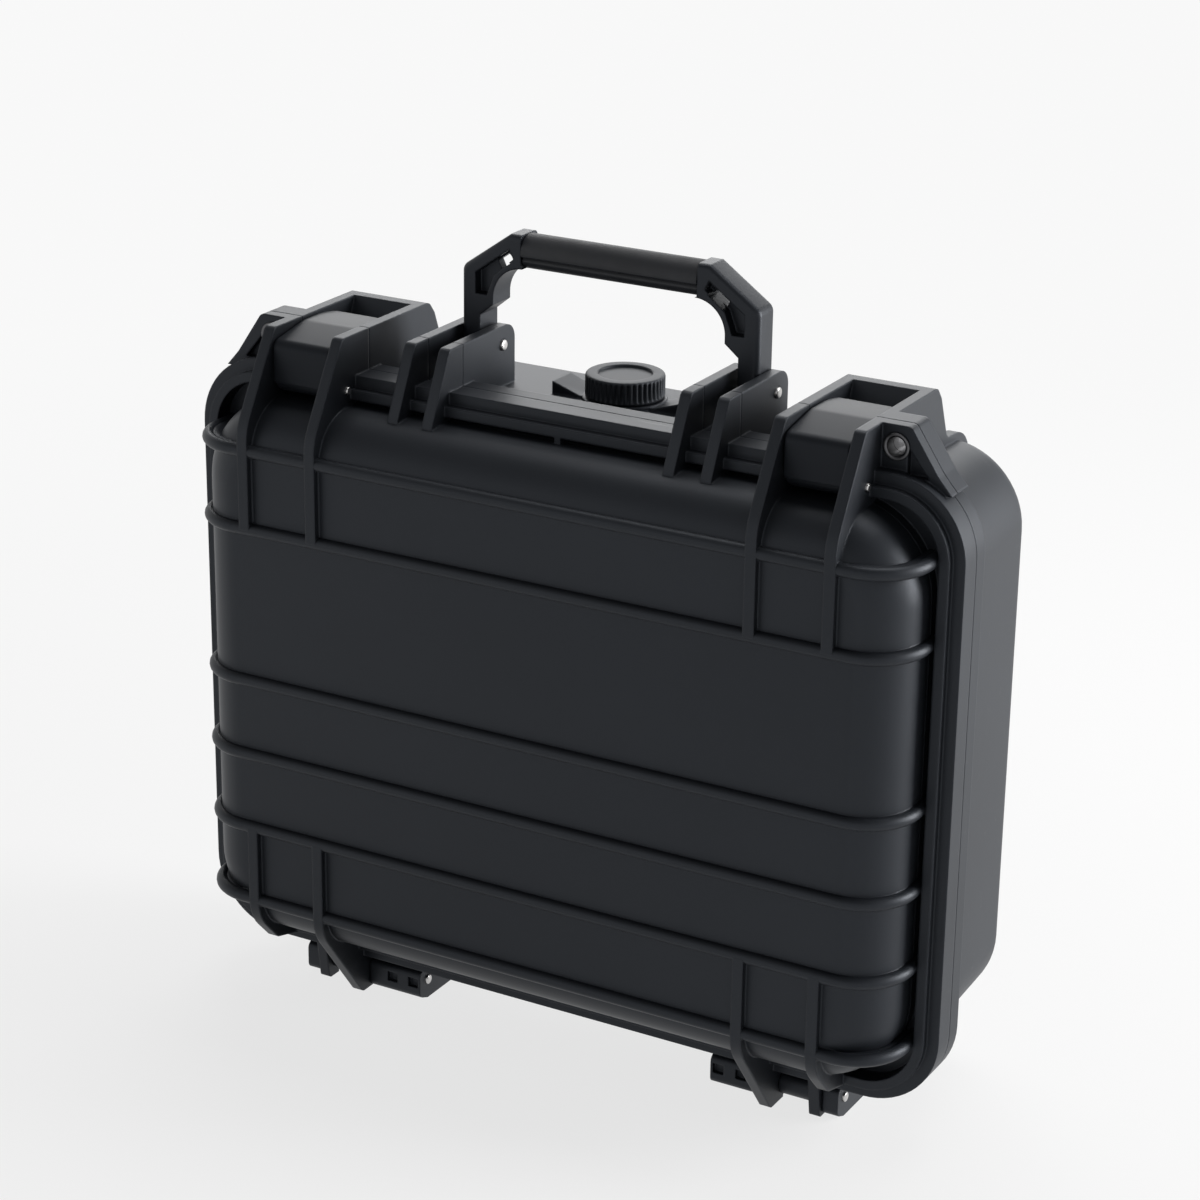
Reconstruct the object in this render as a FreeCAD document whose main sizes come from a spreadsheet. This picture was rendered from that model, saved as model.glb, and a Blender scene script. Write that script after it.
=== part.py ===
"""Waterproof hard case, standing on its hinge side with the lid to the front.

X runs to the right, Y to the rear and Z up. The origin is under the middle of the case, on
the floor. Lengths are in millimetres and angles in degrees.
"""
import FreeCAD, Part
import math
import os

import Sketcher

SIZES = {
    # Case as a whole
    "case_width": 329.0,
    "case_depth": 110.0,
    "lid_depth": 36.5,
    "flange_height": 249.5,
    "flange_clearance": 17.2,
    "flange_corner_radius": 30.0,
    "lid_flange_thickness": 10.0,
    "base_flange_thickness": 9.5,
    "flange_edge_bevel": 1.8,
    "seam_gap": 0.3,
    "shell_wall": 3.2,
    "lid_side_inset": 12.0,
    "lid_end_inset": 10.7,
    "base_inset": 6.6,
    "box_corner_radius": 34.0,
    "lid_edge_radius": 20.0,
    "base_edge_radius": 11.0,
    "lid_cavity_bevel": 11.0,
    "base_cavity_bevel": 5.0,
    "lid_draft": 1.5,
    "base_draft": 2.0,
    "cut_overrun": 1.0,
    "running_clearance": 0.05,
    "moving_gap": 0.35,
    # Raised band on the front of the lid's rim, and the groove inside it
    "rim_band_offset": 4.8,
    "rim_band_width": 4.0,
    "rim_band_rise": 3.5,
    "rim_groove_depth": 4.5,
    # Ribs
    "rib_pitch": 32.0,
    "rib_proud": 3.0,
    "rib_width": 5.2,
    "ridge_height": 0.9,
    "centre_rib_width": 2.6,
    "web_thickness": 4.5,
    "web_bend_radius": 20.0,
    "back_rib_half_length": 128.0,
    "back_rib_draft": 12.0,
    # Latch ears
    "latch_centre": 110.0,
    "latch_web_spacing": 31.2,
    "ear_height": 16.6,
    "ear_corner_radius": 3.0,
    "lid_ear_lead": 18.5,
    "lid_ear_shoulder_drop": 9.0,
    "base_ear_length": 43.5,
    "base_ear_slope_drop": 5.0,
    "base_ear_slope_run": 4.0,
    "base_ear_foot_run": 11.0,
    "base_ear_bend_radius": 4.0,
    "scoop_floor_run": 20.5,
    "scoop_rise_run": 29.5,
    "scoop_rim_run": 37.0,
    "scoop_floor_height": 3.6,
    "scoop_bend_radius": 8.0,
    # Latch levers
    "latch_width": 25.0,
    "latch_corner_radius": 4.5,
    "latch_tail_corner_radius": 6.0,
    "latch_pin_radius": 1.6,
    "latch_pin_lead": 15.5,
    "latch_pin_drop": 4.7,
    "latch_pin_stub": 1.0,
    "latch_nose_reach": 5.5,
    "latch_boss_radius": 4.2,
    "latch_crown_height": 15.4,
    "latch_shoulder_height": 11.6,
    "latch_tail_run": 20.5,
    "latch_tail_height": 14.6,
    "latch_tail_thickness": 3.4,
    "latch_hook_play": 0.8,
    "latch_hook_thickness": 4.4,
    "latch_hook_drop": 4.4,
    "latch_bridge_gap": 0.7,
    "latch_notch_drop": 9.4,
    "latch_edge_radius": 1.6,
    # Padlock tabs
    "tab_top_reach": 29.2,
    "tab_side_reach": 40.6,
    "tab_side_drop": 17.0,
    "tab_foot_reach": 46.0,
    "tab_thickness": 5.0,
    "tab_recess_start": 28.2,
    "tab_recess_reach": 37.0,
    "tab_recess_drop": 7.5,
    "tab_recess_foot_drop": 18.5,
    "tab_recess_depth": 3.0,
    "eyelet_reach": 23.8,
    "eyelet_drop": 8.0,
    "eyelet_bore_radius": 3.5,
    "eyelet_radius": 4.2,
    "eyelet_collar_radius": 5.2,
    "eyelet_collar_thickness": 0.9,
    # Hinges
    "hinge_axis_drop": 8.7,
    "hinge_pin_radius": 2.0,
    "hinge_pin_stub": 1.0,
    "knuckle_radius": 6.4,
    "centre_knuckle_radius": 5.2,
    "hinge_plate_offset": 113.5,
    "hinge_ear_lead": 11.0,
    "hinge_ear_drop": 7.5,
    "hinge_plate_lead": 7.0,
    "hinge_plate_drop": 8.0,
    "inner_block_start": 67.4,
    "outer_block_end": 122.7,
    "block_lead": 5.9,
    "block_front_rise": 5.2,
    "block_front_drop": 6.1,
    "block_radius": 3.0,
    "foot_back": 62.0,
    "block_pocket_width": 4.8,
    "block_pocket_height": 4.2,
    "block_pocket_depth": 2.0,
    "block_pocket_pitch": 10.0,
    "block_pocket_start": 70.8,
    # Handle
    "handle_ear_centre": 59.5,
    "handle_ear_play": 1.3,
    "handle_axis_run": 29.5,
    "handle_axis_height": 9.0,
    "handle_pin_radius": 2.2,
    "handle_ear_reach": 9.0,
    "guard_foot_lead": 22.5,
    "guard_top_lead": 9.5,
    "handle_leg_shift": 0.65,
    "handle_leg_width": 8.3,
    "handle_depth": 13.0,
    "handle_leg_tail": 6.5,
    "handle_shoulder_rise": 31.3,
    "handle_top_rise": 46.3,
    "handle_slope_start": 43.0,
    "handle_corner_radius": 4.0,
    "handle_core_size": 8.6,
    "grip_radius": 7.0,
    "grip_half_length": 38.0,
    "grip_rail_width": 5.0,
    "grip_groove_width": 2.4,
    "grip_groove_depth": 1.2,
    "handle_edge_radius": 2.2,
    "handle_haunch_rise": 33.3,
    "handle_haunch_foot": 17.5,
    "handle_haunch_run": 5.8,
    "handle_haunch_radius": 13.0,
    "handle_notch_rise": 12.8,
    "pocket_depth": 4.5,
    "pocket_outer_wall": 6.1,
    "pocket_foot": 21.0,
    "pocket_shoulder": 29.4,
    "pocket_inner": 43.0,
    "pocket_head": 40.4,
    "pocket_throat_reach": 41.2,
    "pocket_throat": 36.8,
    "pocket_inner_wall": 2.7,
    "pocket_bend_run": 0.4,
    "pocket_bend_rise": 29.2,
    "window_inner": 42.6,
    "window_inner_rise": 34.9,
    "window_top_reach": 45.6,
    "window_top_rise": 37.7,
    "window_outer": 50.5,
    "window_outer_rise": 34.2,
    "window_foot_reach": 48.7,
    "window_foot_rise": 30.5,
    # Seal in the rim
    "gasket_edge_offset": 5.5,
    "gasket_groove_width": 5.0,
    "gasket_groove_depth": 4.0,
    "gasket_width": 4.9,
    "gasket_thickness": 2.4,
    "tongue_width": 2.4,
    # Purge valve
    "valve_setback": 38.5,
    "valve_boss_radius": 16.5,
    "valve_boss_height": 0.7,
    "valve_stem_radius": 6.9,
    "valve_stem_length": 13.0,
    "valve_collar_radius": 11.0,
    "valve_collar_thickness": 3.2,
    "valve_post_radius": 4.0,
    "valve_post_height": 3.0,
    "valve_bore_radius": 4.0,
    "valve_ceiling": 2.4,
    "oring_ring_radius": 8.9,
    "oring_wire_radius": 0.95,
    "nut_across_flats": 20.0,
    "nut_thickness": 5.0,
    "nut_drop": 2.0,
    "membrane_thickness": 0.6,
    "knob_radius": 15.5,
    "knob_height": 9.4,
    "knob_gap": 0.3,
    "knob_edge_bevel": 1.3,
    "knob_flute_depth": 0.9,
    "knob_flute_width": 1.8,
    "knob_flute_count": 30.0,
    "knob_dial_radius": 10.5,
    "knob_dial_depth": 1.0,
    "gusset_reach": 28.4,
    "gusset_width": 14.0,
    "gusset_height": 4.0,
}


class Size:
    """A length, with the sheet expression that it comes from."""

    def __init__(self, text, value):
        self.text = text
        self.value = value

    def __add__(self, other):
        return Size(f"({self.text} + {text_of(other)})", self.value + value_of(other))

    def __sub__(self, other):
        return Size(f"({self.text} - {text_of(other)})", self.value - value_of(other))

    def __mul__(self, factor):
        return Size(f"({self.text} * {text_of(factor)})", self.value * value_of(factor))

    def __neg__(self):
        return Size(f"(-1 * {self.text})", -self.value)

    @property
    def half(self):
        return Size(f"({self.text} / 2)", self.value / 2)


def text_of(size):
    return size.text if isinstance(size, Size) else repr(size)


def value_of(size):
    return size.value if isinstance(size, Size) else float(size)


class Sheet:
    """The driving sizes: each one a cell of the spreadsheet and an attribute here."""

    def __init__(self, document, table):
        self.cells = document.addObject("Spreadsheet::Sheet", "sizes")
        for row, (alias, number) in enumerate(table.items(), start=1):
            self.cells.set(f"A{row}", alias)
            self.cells.set(f"B{row}", str(number))
            self.cells.setAlias(f"B{row}", alias)
            setattr(self, alias, Size(f"sizes.{alias}", number))
        document.recompute()


doc = FreeCAD.newDocument("hard_case")
s = Sheet(doc, SIZES)
ZERO = Size("0", 0.0)

# Planes and heights that several pieces share
front = -s.case_depth.half
rear = s.case_depth.half
parting = front + s.lid_depth
lid_face = parting - s.seam_gap.half
base_face = parting + s.seam_gap.half
lid_rim_front = parting - s.lid_flange_thickness
base_rim_rear = parting + s.base_flange_thickness
rim_half = s.case_width.half
rim_bottom = s.flange_clearance
rim_top = s.flange_clearance + s.flange_height
rim_middle = s.flange_clearance + s.flange_height.half
ear_top = rim_top + s.ear_height
lid_half = rim_half - s.lid_side_inset
lid_bottom = rim_bottom + s.lid_end_inset
lid_top = rim_top - s.lid_end_inset
base_half = rim_half - s.base_inset
base_bottom = rim_bottom + s.base_inset
base_top = rim_top - s.base_inset
web_front = front - s.rib_proud
web_rear = rear + s.rib_proud
hinge_height = rim_bottom - s.hinge_axis_drop
latch_pin_y = parting - s.latch_pin_lead
latch_pin_z = rim_top - s.latch_pin_drop
handle_y = parting + s.handle_axis_run
handle_z = rim_top + s.handle_axis_height
handle_ear_spacing = s.handle_leg_width + s.handle_ear_play * 2 + s.web_thickness
leg_inner = s.handle_ear_centre + s.handle_leg_shift - s.handle_leg_width.half
leg_outer = s.handle_ear_centre + s.handle_leg_shift + s.handle_leg_width.half
haunch_reach = leg_inner - s.handle_haunch_run
valve_y = parting + s.valve_setback
valve_seat = base_top + s.valve_boss_height
eyelet_z = ear_top - s.eyelet_drop
TOLERANCE = 1e-4
HEXAGON_SHARE = 2 / math.sqrt(3)
OCTAGON_SHARE = math.tan(math.pi / 8)
OCTAGON_FLAT_SHARE = math.cos(math.pi / 8)
LEFT, RIGHT = -1, 1
SIDE_NAMES = {LEFT: "left", RIGHT: "right"}
RIB_STEPS = (3, 2, 0, -1, -2, -3)


def bind(feature, path, size):
    """Ties one property of a feature to the sheet."""
    feature.setExpression(path, text_of(size))


def new_body(label):
    body = doc.addObject("PartDesign::Body", label)
    body.Label = label
    return body


def origin_feature(body, role):
    return next(item for item in body.Origin.OriginFeatures if item.Role == role)


def new_sketch(body, name, plane, at):
    """Sketch on an origin plane of the body, moved out to a place along its normal."""
    sketch = body.newObject("Sketcher::SketchObject", name)
    sketch.AttachmentSupport = [(origin_feature(body, f"{plane}_Plane"), "")]
    sketch.MapMode = "FlatFace"
    bind(sketch, "AttachmentOffset.Base.z", -at if plane == "XZ" else at)
    return sketch


def pin_point(sketch, geometry, position, across, up):
    """Ties a point of the sketch to the sheet by its two distances from the origin."""
    for kind, size in (("DistanceX", across), ("DistanceY", up)):
        index = sketch.addConstraint(
            Sketcher.Constraint(kind, -1, 1, geometry, position, value_of(size)))
        bind(sketch, f"Constraints[{index}]", size)


def pin_radius(sketch, geometry, radius):
    index = sketch.addConstraint(Sketcher.Constraint("Radius", geometry, value_of(radius)))
    bind(sketch, f"Constraints[{index}]", radius)


def corner_reach(before, here, after, radius):
    """Tangent points and centre of the arc that rounds a corner."""
    towards = (before - here).normalize()
    away = (after - here).normalize()
    angle = towards.getAngle(away)
    reach = radius / math.tan(angle / 2)
    centre = here + (towards + away).normalize() * (radius / math.sin(angle / 2))
    return here + towards * reach, here + away * reach, centre


def add_outline(sketch, corners, closed=True):
    """Straight lines through the corners (across, up, radius), rounded where one is given."""
    points = [FreeCAD.Vector(value_of(c[0]), value_of(c[1]), 0) for c in corners]
    count = len(points)
    entries, leaves, centres = list(points), list(points), {}
    for k in range(count):
        if len(corners[k]) > 2:
            entries[k], leaves[k], centres[k] = corner_reach(
                points[k - 1], points[k], points[(k + 1) % count], value_of(corners[k][2]))
    lines = []
    for k in range(count if closed else count - 1):
        lines.append(sketch.addGeometry(
            Part.LineSegment(leaves[k], entries[(k + 1) % count]), False))
    for k in range(count):
        across, up = corners[k][0], corners[k][1]
        if not closed and k in (0, count - 1):
            line, end = (lines[0], 1) if k == 0 else (lines[-1], 2)
            pin_point(sketch, line, end, across, up)
            continue
        before, after = lines[k - 1], lines[k]
        if k not in centres:
            sketch.addConstraint(Sketcher.Constraint("Coincident", before, 2, after, 1))
            pin_point(sketch, after, 1, across, up)
            continue
        turn = (points[k] - points[k - 1]).cross(points[(k + 1) % count] - points[k]).z
        arc_start, arc_end = (entries[k], leaves[k]) if turn > 0 else (leaves[k], entries[k])
        entry_end, leave_end = (1, 2) if turn > 0 else (2, 1)
        first = math.atan2(arc_start.y - centres[k].y, arc_start.x - centres[k].x)
        last = math.atan2(arc_end.y - centres[k].y, arc_end.x - centres[k].x)
        circle = Part.Circle(centres[k], FreeCAD.Vector(0, 0, 1), value_of(corners[k][2]))
        arc = sketch.addGeometry(
            Part.ArcOfCircle(circle, first, last if last > first else last + 2 * math.pi), False)
        corner = sketch.addGeometry(Part.Point(points[k]), True)
        sketch.addConstraint([
            Sketcher.Constraint("Tangent", before, 2, arc, entry_end),
            Sketcher.Constraint("Tangent", arc, leave_end, after, 1),
            Sketcher.Constraint("PointOnObject", corner, 1, before),
            Sketcher.Constraint("PointOnObject", corner, 1, after),
        ])
        pin_radius(sketch, arc, corners[k][2])
        pin_point(sketch, corner, 1, across, up)


def add_circle(sketch, across, up, radius):
    centre = FreeCAD.Vector(value_of(across), value_of(up), 0)
    circle = sketch.addGeometry(
        Part.Circle(centre, FreeCAD.Vector(0, 0, 1), value_of(radius)), False)
    pin_radius(sketch, circle, radius)
    pin_point(sketch, circle, 3, across, up)


def rounded_rectangle(half_width, bottom, top, radius):
    return [(-half_width, bottom, radius), (half_width, bottom, radius),
            (half_width, top, radius), (-half_width, top, radius)]


def rectangle(left, right, bottom, top):
    return [(left, bottom), (right, bottom), (right, top), (left, top)]


def extrude(kind, body, sketch, plane, start, end, taper=None):
    """Pad or Pocket of a sketch, from one place along the plane's normal to another."""
    feature = body.newObject(f"PartDesign::{kind}", sketch.Name.replace("_sketch", ""))
    feature.Profile = sketch
    forward = value_of(end) > value_of(start)
    bind(feature, "Length", end - start if forward else start - end)
    along_normal = forward != (plane == "XZ")
    feature.Reversed = along_normal if kind == "Pocket" else not along_normal
    if taper is not None:
        bind(feature, "TaperAngle", -taper)
    sketch.Visibility = False
    return feature


def pad(body, name, plane, start, end, corners, taper=None):
    sketch = new_sketch(body, f"{name}_sketch", plane, start)
    add_outline(sketch, corners)
    return extrude("Pad", body, sketch, plane, start, end, taper)


def disc(body, name, plane, start, end, across, up, radius):
    sketch = new_sketch(body, f"{name}_sketch", plane, start)
    add_circle(sketch, across, up, radius)
    return extrude("Pad", body, sketch, plane, start, end)


def checked_cut(body, sketch, plane, start, end, taper=None):
    """Pocket that must take something away."""
    doc.recompute()
    before = body.Shape.Volume
    feature = extrude("Pocket", body, sketch, plane, start, end, taper)
    doc.recompute()
    if not body.Shape.Volume < before:
        raise RuntimeError(f"{feature.Name} cuts nothing")
    return feature


def cut(body, name, plane, start, end, corners, taper=None):
    sketch = new_sketch(body, f"{name}_sketch", plane, start)
    add_outline(sketch, corners)
    return checked_cut(body, sketch, plane, start, end, taper)


def bore(body, name, plane, start, end, across, up, radius):
    sketch = new_sketch(body, f"{name}_sketch", plane, start)
    add_circle(sketch, across, up, radius)
    return checked_cut(body, sketch, plane, start, end)


def ring_sketch(body, name, plane, at, outer, inner):
    sketch = new_sketch(body, f"{name}_sketch", plane, at)
    add_outline(sketch, outer)
    add_outline(sketch, inner)
    return sketch


def rim_outline(offset):
    """Rounded outline of the case's rim, drawn in from its edge."""
    return rounded_rectangle(rim_half - offset, rim_bottom + offset, rim_top - offset,
                             s.flange_corner_radius - offset)


def finish_edges(kind, body, name, size, chosen):
    """Fillet or Chamfer of the edges of the body that the test picks."""
    doc.recompute()
    tip = body.Tip
    names = [f"Edge{k}" for k, edge in enumerate(tip.Shape.Edges, start=1) if chosen(edge)]
    feature = body.newObject(f"PartDesign::{kind}", name)
    feature.Base = (tip, names)
    bind(feature, "Radius" if kind == "Fillet" else "Size", size)
    return feature


def lies_at_y(place):
    """Test for edges that lie in one plane across the Y axis."""
    level = value_of(place)
    return lambda edge: (abs(edge.BoundBox.YMin - level) < TOLERANCE
                         and abs(edge.BoundBox.YMax - level) < TOLERANCE)


def octagon(across, up, radius):
    """Corners of an octagon with its flats at a distance from its centre."""
    near = radius * OCTAGON_SHARE
    return [(across + radius, up - near), (across + radius, up + near),
            (across + near, up + radius), (across - near, up + radius),
            (across - radius, up + near), (across - radius, up - near),
            (across - near, up - radius), (across + near, up - radius)]


def sweep(body, name, path_plane, path_at, path, profile_plane, profile_at, corners):
    """Bar along a path."""
    spine = new_sketch(body, f"{name}_path", path_plane, path_at)
    add_outline(spine, path, closed=False)
    profile = new_sketch(body, f"{name}_profile", profile_plane, profile_at)
    add_outline(profile, corners)
    feature = body.newObject("PartDesign::AdditivePipe", name)
    feature.Profile = profile
    feature.Spine = spine
    spine.Visibility = False
    profile.Visibility = False
    return feature


def turned(label, plane, corners, axis):
    """Body turned from a half outline about an axis of its sketch."""
    body = new_body(label)
    sketch = new_sketch(body, f"{label}_sketch", plane, ZERO)
    add_outline(sketch, corners)
    feature = body.newObject("PartDesign::Revolution", f"{label}_turned")
    feature.Profile = sketch
    feature.ReferenceAxis = (sketch, [axis])
    feature.Angle = 360
    sketch.Visibility = False
    return body


def place(body, x, y, z):
    for axis, size in (("x", x), ("y", y), ("z", z)):
        bind(body, f"Placement.Base.{axis}", size)


def sided(side, size):
    """The size on the right of the case, and its mirror image on the left."""
    return size if side == RIGHT else -size


def rib_height(step):
    return rim_middle + s.rib_pitch * step


def tool(group, name):
    """Body that is joined to a shell, or cut from it, with the others of its group."""
    body = new_body(name)
    group.append(body)
    return body


def add_plate(group, name, plane, start, end, corners, taper=None):
    return pad(tool(group, name), f"{name}_plate", plane, start, end, corners, taper)


def add_rod(group, name, plane, start, end, across, up, radius):
    return disc(tool(group, name), f"{name}_rod", plane, start, end, across, up, radius)


def combine(body, kind, group):
    """Joins a group of bodies to the shell in one step, or cuts them from it."""
    doc.recompute()
    before = body.Shape.Volume
    feature = body.newObject("PartDesign::Boolean", f"{body.Name}_{kind.lower()}")
    feature.Type = kind
    feature.Group = group
    doc.recompute()
    grown = body.Shape.Volume > before
    if grown != (kind == "Fuse"):
        raise RuntimeError(f"{feature.Name} changes nothing")
    return feature


def web(group, name, centre, corners):
    """Upright plate across X, centred on a place."""
    return add_plate(group, name, "YZ", centre - s.web_thickness.half,
               centre + s.web_thickness.half, corners)


def latch_webs(side):
    """Places of the two webs beside a latch, the one nearer the middle first."""
    return (sided(side, s.latch_centre - s.latch_web_spacing.half),
            sided(side, s.latch_centre + s.latch_web_spacing.half))


def handle_webs(side):
    return (sided(side, s.handle_ear_centre - handle_ear_spacing.half),
            sided(side, s.handle_ear_centre + handle_ear_spacing.half))


def tab_outline(side):
    """Front view of a padlock tab, from the outer latch web to the rim's corner."""
    inner = s.latch_centre + s.latch_web_spacing.half
    return [(sided(side, inner), base_top), (sided(side, inner), ear_top),
            (sided(side, s.latch_centre + s.tab_top_reach), ear_top, s.ear_corner_radius),
            (sided(side, s.latch_centre + s.tab_side_reach), ear_top - s.tab_side_drop,
             s.ear_corner_radius),
            (sided(side, s.latch_centre + s.tab_foot_reach), base_top)]


# Lid shell

def lid_rim_and_box(body):
    """Rim flange with its raised band, the drafted box, and the deep groove between them."""
    pad(body, "lid_rim", "XZ", lid_rim_front, lid_face, rim_outline(ZERO))
    band_inner = s.rim_band_offset + s.rim_band_width
    band = ring_sketch(body, "rim_band", "XZ", lid_rim_front + s.cut_overrun,
                       rim_outline(s.rim_band_offset), rim_outline(band_inner))
    extrude("Pad", body, band, "XZ", lid_rim_front + s.cut_overrun,
            lid_rim_front - s.rim_band_rise)
    box = rounded_rectangle(lid_half, lid_bottom, lid_top, s.box_corner_radius)
    pad(body, "lid_box", "XZ", lid_face, front, box, s.lid_draft)
    finish_edges("Fillet", body, "lid_front_edge", s.lid_edge_radius, lies_at_y(front))
    groove = ring_sketch(body, "rim_groove", "XZ", lid_rim_front, rim_outline(band_inner), box)
    checked_cut(body, groove, "XZ", lid_rim_front, lid_rim_front + s.rim_groove_depth)


def lid_ribs(adds):
    """Eight-sided ribs that run across the front and wrap round to the rim."""
    radius = s.rib_width.half * OCTAGON_FLAT_SHARE
    out = s.rib_proud - s.rib_width.half
    start = lid_rim_front + s.rim_groove_depth
    bend = s.lid_edge_radius + out
    for step in RIB_STEPS:
        path = [(-lid_half - out, start), (-lid_half - out, front - out, bend),
                (lid_half + out, front - out, bend), (lid_half + out, start)]
        name = f"lid_rib_{step + 4}"
        sweep(tool(adds, name), f"{name}_bar", "XY", rib_height(step), path,
              "XZ", start, octagon(-lid_half - out, rib_height(step), radius))


def lid_latch_ear_outline():
    """Web from the second rib, over the shoulder, up to a latch ear."""
    low = rib_height(RIB_STEPS[1])
    return [(web_front, low),
            (web_front, lid_top - s.lid_ear_shoulder_drop, s.web_bend_radius),
            (parting - s.lid_ear_lead, ear_top, s.ear_corner_radius),
            (lid_face, ear_top), (lid_face, low)]


def lid_hinge_ear_outline():
    """Web from the fifth rib, under the lid, down to a hinge ear."""
    high = rib_height(RIB_STEPS[4])
    return [(web_front, high), (lid_face, high),
            (lid_face, hinge_height - s.hinge_ear_drop),
            (parting - s.hinge_ear_lead, hinge_height - s.hinge_ear_drop,
             s.ear_corner_radius),
            (web_front, lid_bottom + s.lid_end_inset, s.web_bend_radius)]


def lid_foot_web_outline():
    """Web from the fifth rib down to the lower edge of the rim."""
    high = rib_height(RIB_STEPS[4])
    return [(web_front, high), (lid_rim_front + s.cut_overrun, high),
            (lid_rim_front + s.cut_overrun, rim_bottom + s.rib_proud),
            (front + s.web_bend_radius.half, lid_bottom - s.rib_proud, s.ear_corner_radius),
            (web_front, lid_bottom + s.lid_end_inset, s.web_bend_radius)]


def lid_webs(adds, side):
    name = SIDE_NAMES[side]
    inner, outer = latch_webs(side)
    web(adds, f"lid_ear_inner_{name}", inner, lid_latch_ear_outline())
    web(adds, f"lid_ear_outer_{name}", outer, lid_latch_ear_outline())
    web(adds, f"lid_hinge_ear_{name}", inner, lid_hinge_ear_outline())
    web(adds, f"lid_foot_web_{name}", outer, lid_foot_web_outline())
    guard = [(parting - s.guard_foot_lead, lid_top - s.shell_wall),
             (parting - s.guard_foot_lead, lid_top),
             (parting - s.guard_top_lead, ear_top, s.ear_corner_radius),
             (lid_face, ear_top), (lid_face, lid_top - s.shell_wall)]
    for place_name, centre in zip(("inner", "outer"), handle_webs(side)):
        web(adds, f"lid_guard_{place_name}_{name}", centre, guard)
    plate = [(lid_rim_front, rim_bottom + s.rib_proud),
             (parting - s.hinge_plate_lead, hinge_height - s.hinge_plate_drop,
              s.ear_corner_radius.half),
             (lid_face, hinge_height - s.hinge_plate_drop),
             (lid_face, rim_bottom + s.rib_proud)]
    plate_x = sided(side, s.hinge_plate_offset)
    web(adds, f"lid_hinge_plate_{name}", plate_x, plate)
    for part_name, centre in (("ear", inner), ("plate", plate_x)):
        add_rod(adds, f"lid_knuckle_{part_name}_{name}", "YZ", centre - s.web_thickness.half,
             centre + s.web_thickness.half, parting, hinge_height, s.knuckle_radius)
    add_plate(adds, f"lid_tab_{name}", "XZ", parting - s.tab_thickness, lid_face,
        tab_outline(side))


def lid_openings(cuts, side):
    """Notch for the lever, recess of the tab, and bores for both pins and the eyelet."""
    name = SIDE_NAMES[side]
    foot = ear_top - s.tab_recess_foot_drop
    recess = [(sided(side, s.latch_centre + s.tab_recess_start), foot),
              (sided(side, s.latch_centre + s.tab_recess_reach), foot),
              (sided(side, s.latch_centre + s.tab_recess_start), ear_top - s.tab_recess_drop)]
    tab_front = parting - s.tab_thickness
    add_plate(cuts, f"tab_recess_{name}", "XZ", tab_front - s.cut_overrun,
              tab_front + s.tab_recess_depth, recess)
    inner, outer = latch_webs(side)
    half = s.web_thickness.half
    clear = half + s.moving_gap
    low, high = (inner + clear, outer - clear) if side == RIGHT else (outer + clear, inner - clear)
    add_plate(cuts, f"latch_notch_{name}", "YZ", low, high,
        rectangle(front, latch_pin_y + s.latch_boss_radius + s.moving_gap,
                  rim_top - s.latch_notch_drop, ear_top))
    add_rod(cuts, f"latch_pin_bore_{name}", "YZ", sided(side, s.handle_ear_centre
         + handle_ear_spacing), sided(side, rim_half), latch_pin_y, latch_pin_z,
         s.latch_pin_radius + s.running_clearance)
    add_rod(cuts, f"lid_hinge_bore_{name}", "YZ", ZERO, sided(side, rim_half), parting,
         hinge_height, s.hinge_pin_radius + s.running_clearance)
    add_rod(cuts, f"lid_eyelet_bore_{name}", "XZ", front, lid_face,
         sided(side, s.latch_centre + s.eyelet_reach), eyelet_z,
         s.eyelet_radius + s.running_clearance)


def build_lid_shell():
    body = new_body("lid_shell")
    lid_rim_and_box(body)
    adds, cuts = [], []
    lid_ribs(adds)
    centre_rib = [(lid_rim_front - s.rim_band_rise, rim_top - s.rim_band_offset),
                  (lid_rim_front - s.rim_band_rise, lid_top - s.shell_wall),
                  (lid_rim_front + s.rim_groove_depth, lid_top - s.shell_wall),
                  (lid_rim_front + s.rim_groove_depth, rim_top - s.rim_band_offset)]
    add_plate(adds, "lid_centre_rib", "YZ", -s.centre_rib_width.half, s.centre_rib_width.half,
              centre_rib)
    cavity = rounded_rectangle(lid_half - s.shell_wall, lid_bottom + s.shell_wall,
                               lid_top - s.shell_wall, s.box_corner_radius - s.shell_wall)
    add_plate(cuts, "lid_cavity", "XZ", lid_face, front + s.shell_wall, cavity, s.lid_draft)
    finish_edges("Chamfer", cuts[-1], "lid_cavity_edge", s.lid_cavity_bevel,
                 lies_at_y(front + s.shell_wall))
    groove = ring_sketch(tool(cuts, "gasket_groove"), "gasket_groove_ring", "XZ", lid_face,
                         rim_outline(s.gasket_edge_offset),
                         rim_outline(s.gasket_edge_offset + s.gasket_groove_width))
    extrude("Pad", cuts[-1], groove, "XZ", lid_face, lid_face - s.gasket_groove_depth)
    for side in (LEFT, RIGHT):
        lid_webs(adds, side)
        lid_openings(cuts, side)
    combine(body, "Fuse", adds)
    combine(body, "Cut", cuts)
    return body


# Base shell

def base_rim_and_box(body):
    pad(body, "base_rim", "XZ", base_face, base_rim_rear, rim_outline(ZERO))
    finish_edges("Chamfer", body, "base_rim_edge", s.flange_edge_bevel,
                 lies_at_y(base_rim_rear))
    box = rounded_rectangle(base_half, base_bottom, base_top, s.box_corner_radius)
    pad(body, "base_box", "XZ", base_face, rear, box, s.base_draft)
    finish_edges("Fillet", body, "base_rear_edge", s.base_edge_radius, lies_at_y(rear))


def base_back_ribs(adds):
    """Straight ribs across the rear."""
    half = s.rib_width.half
    for step in RIB_STEPS:
        outline = rectangle(-s.back_rib_half_length, s.back_rib_half_length,
                            rib_height(step) - half, rib_height(step) + half)
        add_plate(adds, f"base_rib_{step + 4}", "XZ", rear - s.shell_wall, web_rear, outline,
            s.back_rib_draft)


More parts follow.
